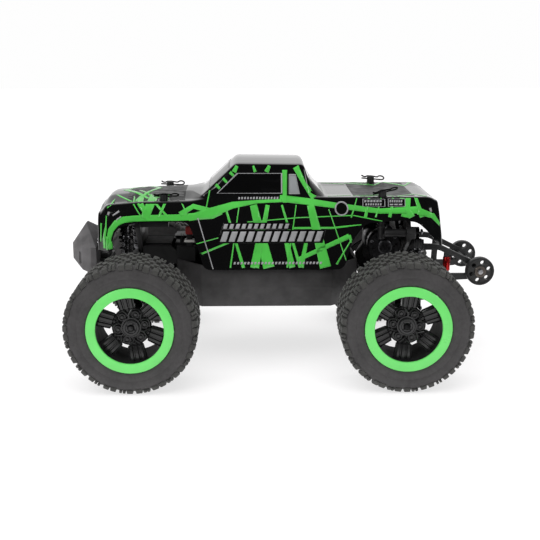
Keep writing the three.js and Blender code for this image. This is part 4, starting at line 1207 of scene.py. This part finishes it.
def wheelie_wheel(side):
    """A narrow wheel with a ribbed tread and six holes, and the metal disc on its outer face."""
    x, y, z = WHEELIE_WHEEL
    tread = [(2.4, -3.4), (6.2, -3.4), (6.7, -3), (11.7, -3), (12, -3.9), (12.8, -4), (13, -3.6),
             (13.3, -4), (14.1, -3.6), (14.5, -2.4)]
    wheel_shape = Solid().lathe(tread + [(r, -v) for r, v in tread[::-1]], 64, closed=True)
    holes = Solid()
    for k in range(6):
        holes.rod(2.3, -6, 6, 20, "y", around(9.2, math.radians(60 * k + 17)))
    place = Matrix.Translation((x, SIGN[side] * y, z))
    for solid in (wheel_shape, holes):
        solid.moved(place)
    name = f"wheelie_wheel_{side}"
    mesh = carved(f"{name}_tread", wheel_shape, holes)
    link(f"{name}_tread", mesh, WHEELIE, name, [name])
    section = [(2.4, 3.3), (5.9, 3.3), (5.9, 3.9), (5.5, 4.2), (4.2, 4.2), (3.9, 3.9), (2.4, 3.9)]
    hub_disc = Solid().lathe(section, 48, closed=True).moved(place @ flip(side))
    hub_disc.piece(f"{name}_disc", 35, HUB_DISC, name, "bolt_steel")


def wheelie_frame():
    """Two slim rails, each with a strut, and the block, cross tubes and axle that join them."""
    rail = [(142.7, 108), (158, 113.4), (174.6, 113.6), (205, 99.6), (209, 92), (213, 88.4), (220, 89),
            (222, 95), (219, 99), (206, 104.4), (176.6, 118.8), (158, 119.4), (142.7, 121)]
    strut = [(180, 81), (206, 82.4), (213, 90), (211, 92), (204, 88.4), (186, 88.4), (187, 112),
             (181.4, 115)]
    block = [(142.7, 108), (157, 110), (157, 124), (154, 126), (142.7, 126)]
    solid = Solid()
    for sign in (-1, 1):
        solid.plate(rounded(rail, 3.2, 5), sign * 30, sign * 36)
        solid.plate(rounded(strut, 1.6, 4), sign * 30.8, sign * 35.2)
    for x, z, radius in ((182.5, 86, 3), (208.5, 96.5, 2.6)):
        solid.rod(radius, -31, 31, 24, "y", (x, 0, z))
    solid.plate(rounded(block, 1.5, 4), -34, 34)
    piece = solid.piece("wheelie_frame", 30, WHEELIE, "chassis", "wheelie_plastic", ["wheelie_bar"])
    soften(piece, 0.6, 2, 40)
    x, _, z = WHEELIE_WHEEL
    axle = Solid().rod(1.8, -48.5, 48.5, 20, "y", (x, 0, z))
    for sign in (-1, 1):
        screw_head(axle, (x, sign * 48, z), "y", 2.6, sign * 0.5)
    axle.piece("wheelie_axle", 35, STEEL, "chassis", "bolt_steel")
    sleeve = [(CORE, 91.5), (3.3, 91.5), (3.7, 92.2), (3.7, 105.4), (3.3, 106), (CORE, 106)]
    spacer = Solid().lathe(sleeve, 24, "z", (183.8, -33, 0))
    spacer.piece("wheelie_sleeve", 35, RED_METAL, "chassis", "bolt_steel")


wheelie_frame()
for side in ("left", "right"):
    wheelie_wheel(side)


# ---- Rear tower: a plate with a window, arms that hold the posts, brace tubes and the shock pins ----
TOWER_X = (138.4, 142.4)


def ring_plate(outer, inner, low, high, count=72):
    """A plate across the truck between two closed outlines of (y, z) pairs."""
    def spaced(outline):
        loop = [Vector(p) for p in outline] + [Vector(outline[0])]
        lengths = [0]
        for a, b in zip(loop, loop[1:]):
            lengths.append(lengths[-1] + (b - a).length)
        result = []
        for k in range(count):
            want = lengths[-1] * k / count
            i = max(j for j in range(len(lengths)) if lengths[j] <= want + 1e-9)
            a, b = loop[i], loop[min(i + 1, len(loop) - 1)]
            share = (want - lengths[i]) / max((b - a).length, 1e-9)
            result.append(a + (b - a) * share)
        return result
    outside, inside = spaced(outer), spaced(inner)
    corners = ((low, outside), (low, inside), (high, inside), (high, outside))
    rows = [[(x, p.x, p.y) for p in loop] for x, loop in corners]
    return Solid().grid(rows, close_rows=True, close_columns=True)


def symmetric(half, low, high):
    """A closed (y, z) outline from its right half and the heights where it crosses the middle."""
    return [(0, low), *half, (0, high), *[(-y, z) for y, z in half[::-1]]]


# The middles of the brace tubes and of their six-sided caps.
TUBE_Y, TUBE_Z, CAP_Z = 57, 135.5, 135.2


def rear_tower():
    outline = symmetric([(20, 101.4), (32, 112), (48, 121), (60, 127.4), (59, 138), (49, 156)], 101.4, 156)
    window = symmetric([(20, 126), (25, 131), (32, 143), (30, 147)], 126, 147)
    solid = ring_plate(rounded(outline, 5, 5), rounded(window, 3, 5), *TOWER_X)
    x, y = POSTS["rear"]
    front, back = x - 5, TOWER_X[1]
    tube = [(CORE, x + 1.8), (3.3, x + 1.8), (3.8, x + 2.6), (3.8, 137), (CORE, 137)]
    cap = [(CORE, 137.2), (5.4, 137.2), (6.6, 138), (6.8, 142.4), (6.6, 146), (5.6, 146.9), (3.2, 147),
           (2.8, 145.6), (CORE, 145.6)]
    for sign in (-1, 1):
        arm = [(front, 39), (back, 39), (back, 53), (x, 55.5), (front, 53)]
        arm = rounded([(a, sign * b) for a, b in arm], 2.5, 4)
        solid.prism(arm, lambda a, b, depth: (a, b, depth), 151.2, 155.8)
        solid.lathe([(CORE, 128), (3, 128), (3.8, 129), (3.8, 166), (CORE, 166)], 32, "z", (x, sign * y, 0))
        for low in (140, 147.4, 159):
            collar = [(3.9, low), (4.9, low + 0.3), (4.9, low + 1.7), (3.9, low + 2)]
            solid.lathe(collar, 32, "z", (x, sign * y, 0))
        solid.lathe(tube, 32, "x", (0, sign * TUBE_Y, TUBE_Z))
        solid.lathe(cap, 6, "x", (0, sign * TUBE_Y, CAP_Z))
        solid.rod(4, 140, 146.6, 24, "x", (0, sign * SHOCK_EYE_Y, SHOCK_EYE_Z["rear"]))
    piece = solid.piece("rear_tower", 32, FRAME, "chassis", "frame_plastic", ["rear_shock_tower"])
    soften(piece, 0.4, 2, 40)
    bolts = Solid()
    for sign in (-1, 1):
        hex_nut(bolts, (154.4, sign * SHOCK_EYE_Y, SHOCK_EYE_Z["rear"]), "x", 3, 1.8)
        for y, z in ((12, 108), (12, 118)):
            screw_head(bolts, (back + 0.6, sign * y, z), "x", 2.4, 0.9)
    bolts.piece("rear_tower_bolts", 35, STEEL, "chassis", "bolt_steel")


rear_tower()


# ---- Small hardware that shows at the front ----
def front_details():
    bolts = Solid()
    for sign in (-1, 1):
        screw_head(bolts, (-179.5, sign * 36.6, 97.6), "y", 2.2, sign * 0.9)
        hex_nut(bolts, (-145.9, sign * SHOCK_EYE_Y, SHOCK_EYE_Z["front"]), "x", 3, -1.8)
    bolts.piece("front_bolts", 35, STEEL, "chassis", "bolt_steel")
    receiver = Solid().box((-99, 13, 84), (-62, 45, 117)).box((-97, 15, 117), (-64, 43, 119.5))
    soften(receiver.piece("receiver_box", 30, SERVO, "chassis", "servo_plastic"), 1.4, 3)
    plug = Solid().box((-83, -31, 129.5), (-75, -24, 138))
    soften(plug.piece("red_plug", 30, WIRE_RED, "chassis", "wire_red"), 1)
    socket = Solid().box((-84, -32, 121.5), (-74, -23, 124.2))
    soften(socket.piece("white_socket", 30, WIRE_WHITE, "chassis", "wire_white"), 0.5)
    stand = Solid().box((-82, -30, 116.8), (-76, -25, 130))
    stand.box((-126.6, -20, 116), (-98, 20, 118.6))
    web = [(-126.6, 106), (-116, 104), (-107, 98.5), (-92, 98.5), (-92, 112), (-98, 118), (-126.6, 118)]
    for sign in (-1, 1):
        stand.plate(rounded(web, 2, 4), sign * 25, sign * 28.6)
    stand.box((-92.4, -29, 101), (-73, -25, 117))
    soften(stand.piece("upper_deck", 30, TRAY, "chassis", "frame_plastic"), 0.7)


def front_bumper():
    """A faceted bumper: a blunt front, sides that turn back and a top that rises to a ridge."""
    facets = [
        (-201, 10, 103.5), (-201, 10, 117.5), (-198.5, 24, 104.5), (-198.5, 24, 115.5), (-187, 39, 95.5),
        (-187, 39, 119), (-177, 47, 93), (-177, 47, 119.5), (-171.5, 47, 98), (-171.5, 47, 119.5),
        (-184, 22, 89), (-173, 30, 89.5), (-187, 5, 138), (-191.5, 12, 131), (-175, 20, 124),
    ]
    hull = bmesh.new()
    for x, y, z in facets:
        for sign in (-1, 1):
            hull.verts.new((x, sign * y, z))
    bmesh.ops.convex_hull(hull, input=hull.verts)
    block = Solid().add([v.co for v in hull.verts], [[v.index for v in face.verts] for face in hull.faces])
    hull.free()
    slots = Solid()
    slot = [(-190.8, 101), (-188.4, 101), (-188.4, 113), (-190.8, 113)]
    for sign in (-1, 1):
        slots.plate(slot, sign * 33.5, sign * 60)
    slots.box((-210, -16, 106.5), (-195, 16, 113.5))
    mesh = carved("bumper_block", block, slots, 10)
    soften(link("bumper_block", mesh, BUMPER, "chassis", ["front_bumper"]), 0.5, 2, 14)
    mount = Solid().box((-176, -22, 90), (-161.3, 22, 103)).box((-174, -18, 103), (-164, 18, 108))
    soften(mount.piece("bumper_mount", 30, FRAME, "chassis", "frame_plastic"), 1.2)
    lamps = Solid()
    lens = [(CORE, -165), (3.6, -165), (3.6, -170.5), (3.2, -171), (2.6, -169.6), (CORE, -169)]
    for sign in (-1, 1):
        lamps.lathe(lens, 28, "x", (0, sign * 38, 124))
    lamps.piece("bumper_lamps", 35, LAMP, "chassis", "lamp_silver")


front_bumper()
front_details()


# ---- Studio ----
FLOOR_NEAR, FLOOR_FAR = -520, 6000


def studio_floor():
    """Grey paper with an even glow, which is painted light: it lightens the shade under the truck and lights
    the truck from below. The paper ends just outside the picture in front, so the doors reflect the dark
    room.
    """
    floor = Solid().grid([[(x, y, 0) for y in (FLOOR_NEAR, FLOOR_FAR)] for x in (-FLOOR_FAR, FLOOR_FAR)])
    mesh = floor.mesh("floor")
    piece = show(bpy.data.objects.new("floor", mesh))
    material, tree, shader = principled("floor_paper", (0.4, 0.39, 0.395), 0.6)
    tint(tree, shader, object_noise(tree, 3, 2), (0.395, 0.385, 0.39), (0.41, 0.402, 0.407))
    shader.inputs["Specular IOR Level"].default_value = 0.1
    # Painted light: an even white glow lifts the floor, and the shade on it under the truck, towards white.
    shader.inputs["Emission Color"].default_value = (1, 1, 1, 1)
    shader.inputs["Emission Strength"].default_value = 0.68
    mesh.materials.append(material)


def studio_world():
    """White all round for the eye, brighter behind the truck than behind the camera in reflections."""
    scene_world = bpy.data.worlds.new("studio")
    scene_world.use_nodes = True
    tree = scene_world.node_tree
    tree.nodes.clear()
    new, wire = tree.nodes.new, tree.links.new
    coords = new("ShaderNodeTexCoord")
    split = new("ShaderNodeSeparateXYZ")
    wire(coords.outputs["Generated"], split.inputs["Vector"])
    back = new("ShaderNodeMapRange")
    back.interpolation_type = "SMOOTHSTEP"
    for key, value in (("From Min", 0.1), ("From Max", 0.8), ("To Min", 0.03), ("To Max", 0.8)):
        back.inputs[key].default_value = value
    wire(split.outputs["Y"], back.inputs["Value"])
    path = new("ShaderNodeLightPath")
    seen = new("ShaderNodeMix")
    seen.inputs["A"].default_value = 0.45
    wire(path.outputs["Is Glossy Ray"], seen.inputs["Factor"])
    wire(back.outputs["Result"], seen.inputs["B"])
    final = new("ShaderNodeMix")
    final.inputs["B"].default_value = 0.99
    wire(path.outputs["Is Camera Ray"], final.inputs["Factor"])
    wire(seen.outputs["Result"], final.inputs["A"])
    background = new("ShaderNodeBackground")
    background.inputs["Color"].default_value = (1, 1, 1, 1)
    wire(final.outputs["Result"], background.inputs["Strength"])
    output = new("ShaderNodeOutputWorld")
    wire(background.outputs["Background"], output.inputs["Surface"])
    bpy.context.scene.world = scene_world


def sun(name, direction, strength, spread_degrees):
    data = bpy.data.lights.new(name, "SUN")
    data.energy = strength
    data.angle = math.radians(spread_degrees)
    lamp = show(bpy.data.objects.new(name, data))
    lamp.rotation_euler = Vector(direction).to_track_quat("-Z", "Y").to_euler()
    lamp.visible_glossy = False


def softbox(name, place, target, size, power, colour=(1, 1, 1)):
    data = bpy.data.lights.new(name, "AREA")
    data.shape = "RECTANGLE"
    data.size, data.size_y = size
    data.energy = power
    data.color = colour
    lamp = show(bpy.data.objects.new(name, data))
    lamp.location = place
    lamp.rotation_euler = (Vector(target) - Vector(place)).to_track_quat("-Z", "Y").to_euler()


studio_floor()
studio_world()
sun("ceiling", (0.15, 0.2, -1), 1.75, 70)
softbox("front_left", (-1.3, -1.5, 1.1), (0, 0, 0.08), (0.7, 0.7), 7)
softbox("front_right", (1.4, -1.4, 1.0), (0, 0, 0.08), (0.6, 0.6), 5)
bpy.context.scene.view_settings.view_transform = "Standard"
bpy.context.scene.view_settings.look = "None"
